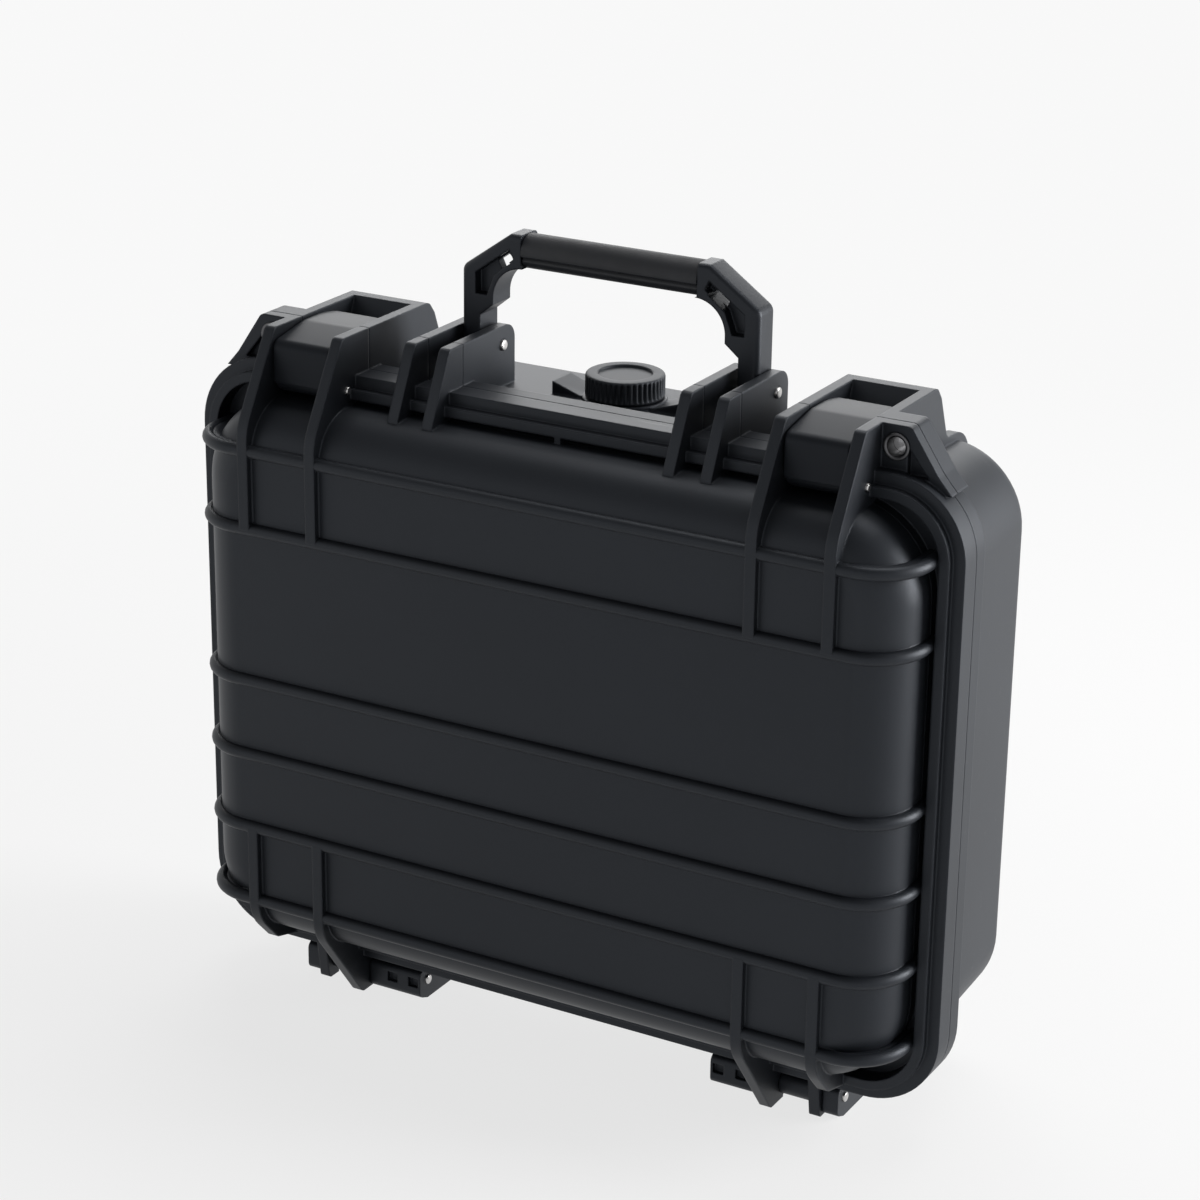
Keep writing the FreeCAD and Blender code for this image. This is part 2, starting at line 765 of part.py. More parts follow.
def base_latch_web_outline():
    """Keeper ear, then a low ridge over the top and down the rear."""
    slope_y = parting + s.base_ear_length + s.base_ear_slope_run
    return [(base_face, rim_middle), (base_face, ear_top),
            (parting + s.base_ear_length, ear_top, s.base_ear_bend_radius),
            (slope_y, ear_top - s.base_ear_slope_drop, s.base_ear_bend_radius),
            (parting + s.base_ear_length + s.base_ear_foot_run, base_top + s.ridge_height,
             s.base_ear_bend_radius),
            (web_rear, base_top, s.base_edge_radius + s.rib_proud),
            (web_rear, rib_height(RIB_STEPS[5]))]


def scoop_outline():
    """Finger scoop behind a latch lever, with its raised rear rim."""
    low = base_top - s.shell_wall
    return [(parting + s.scoop_floor_run, low),
            (parting + s.scoop_floor_run, base_top + s.moving_gap),
            (parting + s.scoop_rise_run, base_top + s.scoop_floor_height,
             s.scoop_bend_radius),
            (parting + s.scoop_rim_run, ear_top),
            (parting + s.base_ear_length, ear_top, s.base_ear_bend_radius),
            (parting + s.base_ear_length + s.base_ear_slope_run,
             ear_top - s.base_ear_slope_drop, s.base_ear_bend_radius),
            (parting + s.base_ear_length + s.base_ear_foot_run, base_top),
            (parting + s.base_ear_length + s.base_ear_foot_run, low)]


def base_webs(adds, side):
    name = SIDE_NAMES[side]
    inner, outer = latch_webs(side)
    web(adds, f"base_ear_inner_{name}", inner, base_latch_web_outline())
    web(adds, f"base_ear_outer_{name}", outer, base_latch_web_outline())
    add_plate(adds, f"latch_scoop_{name}", "YZ", inner, outer, scoop_outline())
    ear = [(base_face, base_top - s.shell_wall), (base_face, ear_top),
           (handle_y + s.handle_ear_reach, ear_top, s.handle_leg_tail),
           (handle_y + s.handle_ear_reach, base_top - s.shell_wall)]
    for place_name, centre in zip(("inner", "outer"), handle_webs(side)):
        web(adds, f"handle_ear_{place_name}_{name}", centre, ear)
    add_plate(adds, f"base_tab_{name}", "XZ", base_face, base_rim_rear, tab_outline(side))


def block_outline(back):
    """Side view of a hinge block, rounded in front and running back as a foot."""
    return [(base_face, base_bottom), (base_face, hinge_height + s.block_front_rise),
            (parting - s.block_lead, hinge_height + s.block_front_rise, s.block_radius),
            (parting - s.block_lead, hinge_height - s.block_front_drop, s.block_radius),
            (parting, ZERO), (back, ZERO, s.block_radius),
            (back, base_bottom + s.shell_wall)]


def base_hinges(adds, cuts, side):
    """Hinge blocks that carry the pin, and the knuckle between the lid's two plates."""
    name = SIDE_NAMES[side]
    half = s.web_thickness.half
    ear = s.latch_centre - s.latch_web_spacing.half
    ear_inner = ear - half - s.moving_gap
    ear_outer = ear + half + s.moving_gap
    plate_inner = s.hinge_plate_offset - half - s.moving_gap
    plate_outer = s.hinge_plate_offset + half + s.moving_gap
    add_plate(adds, f"inner_block_{name}", "YZ", sided(side, s.inner_block_start),
        sided(side, ear_inner), block_outline(parting + s.foot_back))
    add_plate(adds, f"outer_block_{name}", "YZ", sided(side, plate_outer),
        sided(side, s.outer_block_end), block_outline(parting + s.foot_back))
    add_rod(adds, f"centre_knuckle_{name}", "YZ", sided(side, ear_outer),
         sided(side, plate_inner), parting, hinge_height, s.centre_knuckle_radius)
    add_plate(adds, f"centre_knuckle_web_{name}", "YZ", sided(side, ear_outer),
        sided(side, plate_inner),
        rectangle(base_face, base_rim_rear, hinge_height - s.hinge_pin_radius, base_bottom))
    add_rod(cuts, f"base_hinge_bore_{name}", "YZ", ZERO, sided(side, rim_half), parting,
         hinge_height, s.hinge_pin_radius + s.running_clearance)
    block_front = parting - s.block_lead
    for part_name, start in (("inner", s.block_pocket_start),
                             ("outer", s.block_pocket_start + s.block_pocket_pitch)):
        pocket = rectangle(sided(side, start - s.block_pocket_width.half),
                           sided(side, start + s.block_pocket_width.half),
                           hinge_height - s.block_pocket_height.half,
                           hinge_height + s.block_pocket_height.half)
        add_plate(cuts, f"block_pocket_{part_name}_{name}", "XZ", block_front - s.cut_overrun,
                  block_front + s.block_pocket_depth, pocket)


def valve_seat_and_gussets(adds, cuts):
    """Round seat for the purge valve, with a wedge on each side of it."""
    low = base_top - s.shell_wall
    for side in (LEFT, RIGHT):
        wedge = [(ZERO, low), (sided(side, s.gusset_reach), low),
                 (sided(side, s.gusset_reach), base_top + s.gusset_height),
                 (sided(side, s.valve_boss_radius), base_top), (ZERO, base_top)]
        add_plate(adds, f"valve_gusset_{SIDE_NAMES[side]}", "XZ", valve_y - s.gusset_width.half,
            valve_y + s.gusset_width.half, wedge)
    add_rod(adds, "valve_boss", "XY", low, valve_seat, ZERO, valve_y, s.valve_boss_radius)
    add_rod(cuts, "knob_clearance", "XY", valve_seat, valve_seat + s.knob_height, ZERO, valve_y,
         s.valve_boss_radius + s.moving_gap)


def base_bores(cuts, side):
    """Bores for the handle's pin and the padlock eyelet."""
    name = SIDE_NAMES[side]
    add_rod(cuts, f"handle_pin_bore_{name}", "YZ",
            sided(side, s.handle_ear_centre - handle_ear_spacing),
            sided(side, s.handle_ear_centre + handle_ear_spacing), handle_y, handle_z,
            s.handle_pin_radius + s.running_clearance)
    add_rod(cuts, f"base_eyelet_bore_{name}", "XZ", base_face, base_rim_rear + s.cut_overrun,
            sided(side, s.latch_centre + s.eyelet_reach), eyelet_z,
            s.eyelet_radius + s.running_clearance)


def build_base_shell():
    body = new_body("base_shell")
    base_rim_and_box(body)
    adds, cuts = [], []
    base_back_ribs(adds)
    cavity = rounded_rectangle(base_half - s.shell_wall, base_bottom + s.shell_wall,
                               base_top - s.shell_wall, s.box_corner_radius - s.shell_wall)
    add_plate(cuts, "base_cavity", "XZ", base_face, rear - s.shell_wall, cavity, s.base_draft)
    finish_edges("Chamfer", cuts[-1], "base_cavity_edge", s.base_cavity_bevel,
                 lies_at_y(rear - s.shell_wall))
    for side in (LEFT, RIGHT):
        base_webs(adds, side)
        base_hinges(adds, cuts, side)
        base_bores(cuts, side)
    valve_seat_and_gussets(adds, cuts)
    add_rod(cuts, "valve_hole", "XY", valve_seat, base_top - s.shell_wall * 2, ZERO, valve_y,
            s.valve_stem_radius + s.running_clearance)
    combine(body, "Fuse", adds)
    combine(body, "Cut", cuts)
    middle = s.gasket_edge_offset + s.gasket_groove_width.half
    tongue = ring_sketch(body, "rim_tongue", "XZ", base_face,
                         rim_outline(middle - s.tongue_width.half),
                         rim_outline(middle + s.tongue_width.half))
    reach = s.gasket_groove_depth - s.gasket_thickness
    extrude("Pad", body, tongue, "XZ", base_face, base_face - reach)
    return body


# Moving and fitted pieces

def build_gasket():
    body = new_body("lid_gasket")
    margin = (s.gasket_groove_width - s.gasket_width).half
    outer = s.gasket_edge_offset + margin
    start = lid_face - s.gasket_groove_depth
    ring = ring_sketch(body, "gasket_ring", "XZ", start, rim_outline(outer),
                       rim_outline(outer + s.gasket_width))
    extrude("Pad", body, ring, "XZ", start, start + s.gasket_thickness)
    return body


def build_pin(label, radius, half_length, x, y, z):
    """Straight round pin along X."""
    corners = [(-half_length, ZERO), (half_length, ZERO), (half_length, radius),
               (-half_length, radius)]
    body = turned(label, "XY", corners, "H_Axis")
    place(body, x, y, z)
    return body


def build_pins(side):
    name = SIDE_NAMES[side]
    latch_half = s.latch_web_spacing.half + s.web_thickness.half + s.latch_pin_stub
    build_pin(f"latch_pin_{name}", s.latch_pin_radius, latch_half,
              sided(side, s.latch_centre), latch_pin_y, latch_pin_z)
    hinge_half = (s.outer_block_end - s.inner_block_start).half + s.hinge_pin_stub
    hinge_middle = (s.outer_block_end + s.inner_block_start).half
    build_pin(f"hinge_pin_{name}", s.hinge_pin_radius, hinge_half,
              sided(side, hinge_middle), parting, hinge_height)
    handle_half = handle_ear_spacing.half + s.web_thickness.half + s.latch_pin_stub
    build_pin(f"handle_pin_{name}", s.handle_pin_radius, handle_half,
              sided(side, s.handle_ear_centre), handle_y, handle_z)


def build_eyelet(label, length, side, collar_y, direction):
    """Flanged bushing: collar at a face of the tab, barrel through it."""
    bore_r, barrel, collar = s.eyelet_bore_radius, s.eyelet_radius, s.eyelet_collar_radius
    lip = s.eyelet_collar_thickness if direction > 0 else -s.eyelet_collar_thickness
    reach = -length if direction > 0 else length
    corners = [(bore_r, reach), (barrel, reach), (barrel, ZERO), (collar, ZERO),
               (collar, lip), (bore_r, lip)]
    body = turned(label, "XY", corners, "V_Axis")
    place(body, sided(side, s.latch_centre + s.eyelet_reach), collar_y, eyelet_z)
    return body


def corner_waste(across, up, radius, way):
    """Outline of what rounding takes off a corner, the waste lying upwards or downwards."""
    outer = s.cut_overrun if value_of(across) > 0 else -s.cut_overrun
    inward = -radius if value_of(across) > 0 else radius
    beyond = s.cut_overrun if way == RIGHT else -s.cut_overrun
    back = -radius if way == RIGHT else radius
    return [(across + outer, up + beyond), (across + outer, up + back * 2),
            (across, up + back * 2), (across, up, radius), (across + inward * 2, up),
            (across + inward * 2, up + beyond)]


def build_latch(side):
    """C-clamp lever: boss on the pin, bridge over the rim, hook behind it and finger tail."""
    name = SIDE_NAMES[side]
    body = new_body(f"latch_{name}")
    half = s.latch_width.half
    crown = s.latch_pin_drop + s.latch_crown_height
    hook_y = s.latch_pin_lead + s.base_flange_thickness + s.latch_hook_play
    under = s.latch_pin_drop + s.latch_bridge_gap
    hook_tip = s.latch_pin_drop - s.latch_hook_drop
    tail_y = s.latch_pin_lead + s.latch_tail_run
    tail_top = s.latch_pin_drop + s.latch_tail_height
    outline = [(-s.latch_nose_reach, ZERO), (-s.latch_nose_reach,
               s.latch_pin_drop + s.latch_shoulder_height, s.latch_boss_radius),
               (s.latch_pin_lead, crown, s.latch_crown_height),
               (hook_y, crown), (tail_y, tail_top, s.latch_edge_radius),
               (tail_y, tail_top - s.latch_tail_thickness),
               (hook_y + s.latch_hook_thickness, under + s.latch_hook_thickness),
               (hook_y + s.latch_hook_thickness, hook_tip), (hook_y, hook_tip),
               (hook_y, under), (s.latch_boss_radius, under), (s.latch_boss_radius, ZERO)]
    pad(body, f"latch_lever_{name}", "YZ", -half, half, outline)
    disc(body, f"latch_boss_{name}", "YZ", -half, half, ZERO, ZERO, s.latch_boss_radius)
    bore(body, f"latch_bore_{name}", "YZ", -half, half, ZERO, ZERO,
         s.latch_pin_radius + s.running_clearance)
    for end, corner_x in (("left", -half), ("right", half)):
        cut(body, f"latch_{end}_corner_{name}", "XZ", -s.latch_nose_reach - s.cut_overrun,
            s.latch_boss_radius + s.cut_overrun,
            corner_waste(corner_x, -s.latch_boss_radius, s.latch_corner_radius, LEFT))
        cut(body, f"latch_{end}_tail_corner_{name}", "XY", tail_top + s.cut_overrun,
            tail_top - s.latch_tail_thickness * 2,
            corner_waste(corner_x, tail_y, s.latch_tail_corner_radius, RIGHT))
    place(body, sided(side, s.latch_centre), latch_pin_y, latch_pin_z)
    return body


def handle_half_outline():
    """Right half of the handle's front view, from the leg's foot round to the grip's end."""
    return [(leg_outer, -s.handle_leg_tail),
            (leg_outer, s.handle_shoulder_rise, s.handle_corner_radius),
            (s.handle_slope_start, s.handle_top_rise),
            (s.grip_half_length, s.handle_top_rise), (s.grip_half_length, s.handle_haunch_rise),
            (haunch_reach, s.handle_haunch_rise, s.handle_haunch_radius),
            (haunch_reach, s.handle_haunch_foot),
            (leg_inner, s.handle_notch_rise), (leg_inner, -s.handle_leg_tail)]


def on_outer_edge(edge):
    """Test for the long edges round the outside of the handle."""
    box = edge.BoundBox
    half = value_of(s.handle_depth.half)
    flat = abs(abs(box.YMin) - half) < TOLERANCE and abs(box.YMax - box.YMin) < TOLERANCE
    middle = edge.valueAt((edge.FirstParameter + edge.LastParameter) / 2)
    slope = value_of(s.handle_top_rise - s.handle_shoulder_rise)
    run = value_of(leg_outer - s.handle_slope_start)
    rise = value_of(s.handle_shoulder_rise) + (value_of(leg_outer) - abs(middle.x)) \
        * slope / run
    outside = middle.z > rise - value_of(s.handle_edge_radius)
    return flat and (outside or abs(middle.x) > value_of(leg_outer) - TOLERANCE) \
        and abs(middle.x) > value_of(s.grip_half_length) + TOLERANCE \
        and abs(middle.z) > TOLERANCE


def build_handle_frame():
    """Two legs joined by a square core bar."""
    body = new_body("handle_frame")
    half = s.handle_depth.half
    core = s.handle_core_size.half
    bar = s.handle_top_rise - s.grip_radius
    pad(body, "handle_core", "XZ", -core, core,
        rectangle(-s.handle_slope_start, s.handle_slope_start, bar - core, bar + core))
    for side in (RIGHT, LEFT):
        corners = [(sided(side, point[0]),) + tuple(point[1:])
                   for point in handle_half_outline()]
        pad(body, f"handle_leg_{SIDE_NAMES[side]}", "XZ", -half, half, corners)
    finish_edges("Fillet", body, "handle_edges", s.handle_edge_radius, on_outer_edge)
    for side in (RIGHT, LEFT):
        name = SIDE_NAMES[side]
        bore(body, f"handle_bore_{name}", "YZ", ZERO, sided(side, rim_half), ZERO, ZERO,
             s.handle_pin_radius + s.running_clearance)
        pocket_outer = leg_outer - s.pocket_outer_wall
        pocket = [(sided(side, haunch_reach + s.pocket_inner_wall), s.pocket_foot),
                  (sided(side, pocket_outer), s.pocket_foot),
                  (sided(side, pocket_outer), s.pocket_shoulder),
                  (sided(side, s.pocket_inner), s.pocket_head),
                  (sided(side, s.pocket_throat_reach), s.pocket_throat),
                  (sided(side, haunch_reach - s.pocket_bend_run), s.pocket_bend_rise)]
        cut(body, f"handle_front_pocket_{name}", "XZ", -half - s.cut_overrun,
            -half + s.pocket_depth, pocket)
        cut(body, f"handle_rear_pocket_{name}", "XZ", half + s.cut_overrun,
            half - s.pocket_depth, pocket)
        window = [(sided(side, s.window_inner), s.window_inner_rise),
                  (sided(side, s.window_top_reach), s.window_top_rise),
                  (sided(side, s.window_outer), s.window_outer_rise),
                  (sided(side, s.window_foot_reach), s.window_foot_rise)]
        cut(body, f"handle_window_{name}", "XZ", -half, half, window)
    place(body, ZERO, handle_y, handle_z)
    return body


def build_handle_grip():
    """Sleeve round the core bar."""
    body = new_body("handle_grip")
    core = s.handle_core_size.half
    bar = s.handle_top_rise - s.grip_radius
    half = s.grip_half_length - s.running_clearance
    disc(body, "grip_round", "YZ", -half, half, ZERO, bar, s.grip_radius)
    rail = s.grip_rail_width.half
    pad(body, "grip_rail", "YZ", -half, half, rectangle(-rail, rail, bar - s.grip_radius, bar))
    cut(body, "grip_core_hole", "YZ", -half, half,
        rectangle(-core, core, bar - core, bar + core))
    for name, way in (("front", -1), ("rear", 1)):
        groove = rectangle(rail * way, (rail + s.grip_groove_width) * way,
                           bar - s.grip_radius, bar - s.grip_radius + s.grip_groove_depth)
        cut(body, f"grip_{name}_groove", "YZ", -half, half, groove)
    place(body, ZERO, handle_y, handle_z)
    return body


def build_valve_body():
    """Stem through the top wall, collar on its seat and a post for the knob."""
    groove = s.oring_wire_radius
    low = s.oring_ring_radius - groove
    high = s.oring_ring_radius + groove
    corners = [(s.valve_bore_radius, -s.valve_stem_length), (s.valve_stem_radius,
               -s.valve_stem_length), (s.valve_stem_radius, ZERO), (low, ZERO),
               (low, groove * 2), (high, groove * 2), (high, ZERO),
               (s.valve_collar_radius, ZERO),
               (s.valve_collar_radius, s.valve_collar_thickness),
               (s.valve_post_radius, s.valve_collar_thickness),
               (s.valve_post_radius, s.valve_collar_thickness + s.valve_post_height),
               (ZERO, s.valve_collar_thickness + s.valve_post_height),
               (ZERO, s.valve_ceiling - s.valve_collar_thickness),
               (s.valve_bore_radius, s.valve_ceiling - s.valve_collar_thickness)]
    body = turned("purge_valve_body", "XZ", corners, "V_Axis")
    place(body, ZERO, valve_y, valve_seat)
    return body


def build_valve_oring():
    wire = s.oring_wire_radius
    corners = octagon(s.oring_ring_radius, wire, wire)
    body = turned("purge_valve_oring", "XZ", corners, "V_Axis")
    place(body, ZERO, valve_y, valve_seat)
    return body


def build_valve_nut():
    """Hexagon nut against the inside of the top wall."""
    body = new_body("purge_valve_nut")
    apothem = s.nut_across_flats.half
    corner = apothem * HEXAGON_SHARE
    edge = corner.half
    top = -s.valve_boss_height - s.shell_wall - s.nut_drop
    hexagon = [(corner, ZERO), (edge, apothem), (-edge, apothem), (-corner, ZERO),
               (-edge, -apothem), (edge, -apothem)]
    pad(body, "nut_hexagon", "XY", top - s.nut_thickness, top, hexagon)
    bore(body, "nut_bore", "XY", top - s.nut_thickness, top, ZERO, ZERO,
         s.valve_stem_radius + s.running_clearance)
    place(body, ZERO, valve_y, valve_seat)
    return body


def build_valve_membrane():
    """Disc against the closed end of the stem's bore."""
    body = new_body("purge_valve_membrane")
    top = s.valve_ceiling - s.valve_collar_thickness
    disc(body, "membrane_disc", "XY", top - s.membrane_thickness, top, ZERO, ZERO,
         s.valve_bore_radius - s.running_clearance)
    place(body, ZERO, valve_y, valve_seat)
    return body


def build_valve_knob():
    """Fluted cap that turns on the valve body's post."""
    gap = s.knob_gap
    floor = s.valve_collar_thickness + gap
    post_top = s.valve_collar_thickness + s.valve_post_height + gap
    corners = [(s.valve_collar_radius + gap, gap), (s.knob_radius, gap),
               (s.knob_radius, s.knob_height - s.knob_edge_bevel),
               (s.knob_radius - s.knob_edge_bevel, s.knob_height),
               (s.knob_dial_radius, s.knob_height),
               (s.knob_dial_radius, s.knob_height - s.knob_dial_depth),
               (ZERO, s.knob_height - s.knob_dial_depth), (ZERO, post_top),
               (s.valve_post_radius + s.running_clearance, post_top),
               (s.valve_post_radius + s.running_clearance, floor),
               (s.valve_collar_radius + gap, floor)]
    body = turned("purge_valve_knob", "XZ", corners, "V_Axis")
    flute = cut(body, "knob_flute", "XY", ZERO, s.knob_height,
                [(s.knob_radius - s.knob_flute_depth, ZERO),
                 (s.knob_radius + s.knob_flute_depth, -s.knob_flute_width),
                 (s.knob_radius + s.knob_flute_depth, s.knob_flute_width)])
    flutes = body.newObject("PartDesign::PolarPattern", "knob_flutes")
    flutes.Originals = [flute]
    flutes.Axis = (origin_feature(body, "Z_Axis"), [""])
    flutes.Angle = 360
    bind(flutes, "Occurrences", s.knob_flute_count)
    body.Tip = flutes
    place(body, ZERO, valve_y, valve_seat)
    return body


def build_all():
    build_lid_shell()
    build_base_shell()
    build_gasket()
    build_handle_frame()
    build_handle_grip()
    for side in (LEFT, RIGHT):
        name = SIDE_NAMES[side]
        build_latch(side)
        build_pins(side)
        build_eyelet(f"lid_eyelet_{name}", s.tab_thickness - s.seam_gap.half, side,
                     parting - s.tab_thickness, -1)
        build_eyelet(f"base_eyelet_{name}", s.base_flange_thickness - s.seam_gap.half, side,
                     base_rim_rear, 1)
    build_valve_body()
    build_valve_oring()
    build_valve_nut()
    build_valve_membrane()
    build_valve_knob()


def export_parts():
    """Writes each sub-part, once every object of the document is sound."""
    doc.recompute()
    for item in doc.Objects:
        if "Invalid" in item.State or "Error" in item.State:
            raise RuntimeError(f"{item.Name} failed: {item.State}")
    tools = [item for boolean in doc.Objects if boolean.TypeId == "PartDesign::Boolean"
             for item in boolean.Group]
    bodies = [item for item in doc.Objects
              if item.TypeId == "PartDesign::Body" and item not in tools]
    for body in bodies:
        if body.Shape.isNull() or not body.Shape.isValid():
            raise RuntimeError(f"{body.Label} has no sound shape")
    os.makedirs("parts", exist_ok=True)
    for body in bodies:
        body.Shape.exportStep(f"parts/{body.Label}.step")
        print(body.Label, len(body.Shape.Solids), round(body.Shape.Volume / 1000, 2), "cm3")


build_all()
export_parts()
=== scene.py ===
"""Looks of a waterproof hard case: finishes, finer pieces, studio, light and camera.

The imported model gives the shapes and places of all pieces. This script dresses the moulded
ones, and makes the ribs, grip, pins, bushings, seals and knob again with finer forms. Lengths
are in metres, and the angles among the named values are in degrees.
"""

import logging
import math
from collections.abc import Iterable, Sequence
from dataclasses import dataclass
from enum import Enum
from functools import cache

import bmesh
import bpy
from mathutils import Matrix, Vector


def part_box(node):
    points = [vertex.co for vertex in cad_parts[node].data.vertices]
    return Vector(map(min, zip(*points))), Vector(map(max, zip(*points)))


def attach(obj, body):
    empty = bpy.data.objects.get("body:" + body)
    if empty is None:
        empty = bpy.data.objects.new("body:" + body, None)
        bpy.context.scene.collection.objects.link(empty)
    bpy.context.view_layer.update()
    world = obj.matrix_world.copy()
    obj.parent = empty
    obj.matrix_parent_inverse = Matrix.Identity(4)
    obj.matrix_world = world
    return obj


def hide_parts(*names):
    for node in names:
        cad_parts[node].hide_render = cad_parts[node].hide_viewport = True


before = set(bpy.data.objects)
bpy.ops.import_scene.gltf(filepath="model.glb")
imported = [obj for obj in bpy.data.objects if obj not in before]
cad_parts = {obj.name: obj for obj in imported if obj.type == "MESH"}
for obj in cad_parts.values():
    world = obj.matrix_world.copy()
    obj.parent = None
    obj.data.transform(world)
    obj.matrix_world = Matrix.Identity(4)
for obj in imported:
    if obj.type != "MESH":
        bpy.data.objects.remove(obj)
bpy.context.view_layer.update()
LOG = logging.getLogger("hard_case")

Colour = tuple[float, float, float]
Place = tuple[float, float, float]
Point = tuple[float, float]

# Points nearer than these are one: in turned pieces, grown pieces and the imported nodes.
TURNED_JOIN = 1e-7
GROWN_JOIN = 1e-6
PACKED_JOIN = 2e-6
# Degrees from which an edge stays sharp: in the pieces made here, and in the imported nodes.
PIECE_CREASE = 32.0
PACKED_CREASE = 28.0


class Side(Enum):
    """The two sides of the case seen from the front, as the nodes spell them."""

    LEFT = "left"
    RIGHT = "right"


# Node trees


class Wiring:
    """A node tree with short calls to add and join nodes."""

    def __init__(self, tree: bpy.types.NodeTree) -> None:
        """Starts on an emptied tree.

        Args:
            tree: the shader or geometry tree to fill.
        """
        self.tree = tree
        tree.nodes.clear()

    def add(self, kind: str, settings: dict | None = None, **inputs: object) -> bpy.types.Node:
        """Adds a node.

        Args:
            kind: the node's type name.
            settings: properties of the node itself.
            **inputs: input values or sockets, with the input's name or i and its number.

        Returns:
            The new node.
        """
        node = self.tree.nodes.new(kind)
        for name, value in (settings or {}).items():
            setattr(node, name, value)
        for name, value in inputs.items():
            self.feed(node, name, value)
        return node

    def feed(self, node: bpy.types.Node, name: str, value: object) -> None:
        """Sets or joins one input.

        Args:
            node: the node that takes the value.
            name: the input's name with underscores, or i and its number.
            value: a plain value, or the output socket that feeds the input.
        """
        if name[0] == "i" and name[1:].isdigit():
            socket = node.inputs[int(name[1:])]
        else:
            socket = node.inputs[name.replace("_", " ")]
        if isinstance(value, bpy.types.NodeSocket):
            self.tree.links.new(value, socket)
        else:
            socket.default_value = value

    def math(self, operation: str, *values: object) -> bpy.types.NodeSocket:
        """Adds a Math node.

        Args:
            operation: its operation.
            *values: its inputs in order.

        Returns:
            Its output.
        """
        named = {f"i{k}": value for k, value in enumerate(values)}
        return self.add("ShaderNodeMath", {"operation": operation}, **named).outputs[0]

    def ramp(self, source: bpy.types.NodeSocket,
             *stops: tuple[float, Colour]) -> bpy.types.NodeSocket:
        """Adds a colour ramp.

        Args:
            source: the value that picks the colour.
            *stops: places and colours.

        Returns:
            The colour.
        """
        node = self.add("ShaderNodeValToRGB", Fac=source)
        elements = node.color_ramp.elements
        while len(elements) < len(stops):
            elements.new(1.0)
        for element, (place, colour) in zip(elements, stops):
            element.position = place
            element.color = (*colour, 1.0)
        return node.outputs["Color"]

    def noise(self, cell: float, detail: float = 2.0, stretch: Place = (1.0, 1.0, 1.0),
              roughness: float = 0.5) -> bpy.types.NodeSocket:
        """Adds a noise in object space.

        Args:
            cell: size of its cells in metres.
            detail: number of finer layers.
            stretch: share of the scale along each axis.
            roughness: weight of the finer layers.

        Returns:
            The noise's value.
        """
        place = self.add("ShaderNodeTexCoord").outputs["Object"]
        mapping = self.add("ShaderNodeMapping", Vector=place, Scale=stretch)
        return self.add("ShaderNodeTexNoise", Vector=mapping.outputs[0], Scale=1.0 / cell,
                        Detail=detail, Roughness=roughness).outputs["Fac"]


def shade(colour: Colour, factor: float) -> Colour:
    """Makes a colour lighter or darker.

    Args:
        colour: the colour.
        factor: what each part of it is multiplied by.

    Returns:
        The new colour, with no part above 1.
    """
    return tuple(min(1.0, part * factor) for part in colour)


def new_material(name: str) -> tuple[bpy.types.Material, Wiring]:
    """Makes an empty node material.

    Args:
        name: its name.

    Returns:
        The material and its tree.
    """
    material = bpy.data.materials.new(name)
    material.use_nodes = True
    return material, Wiring(material.node_tree)


# Finishes


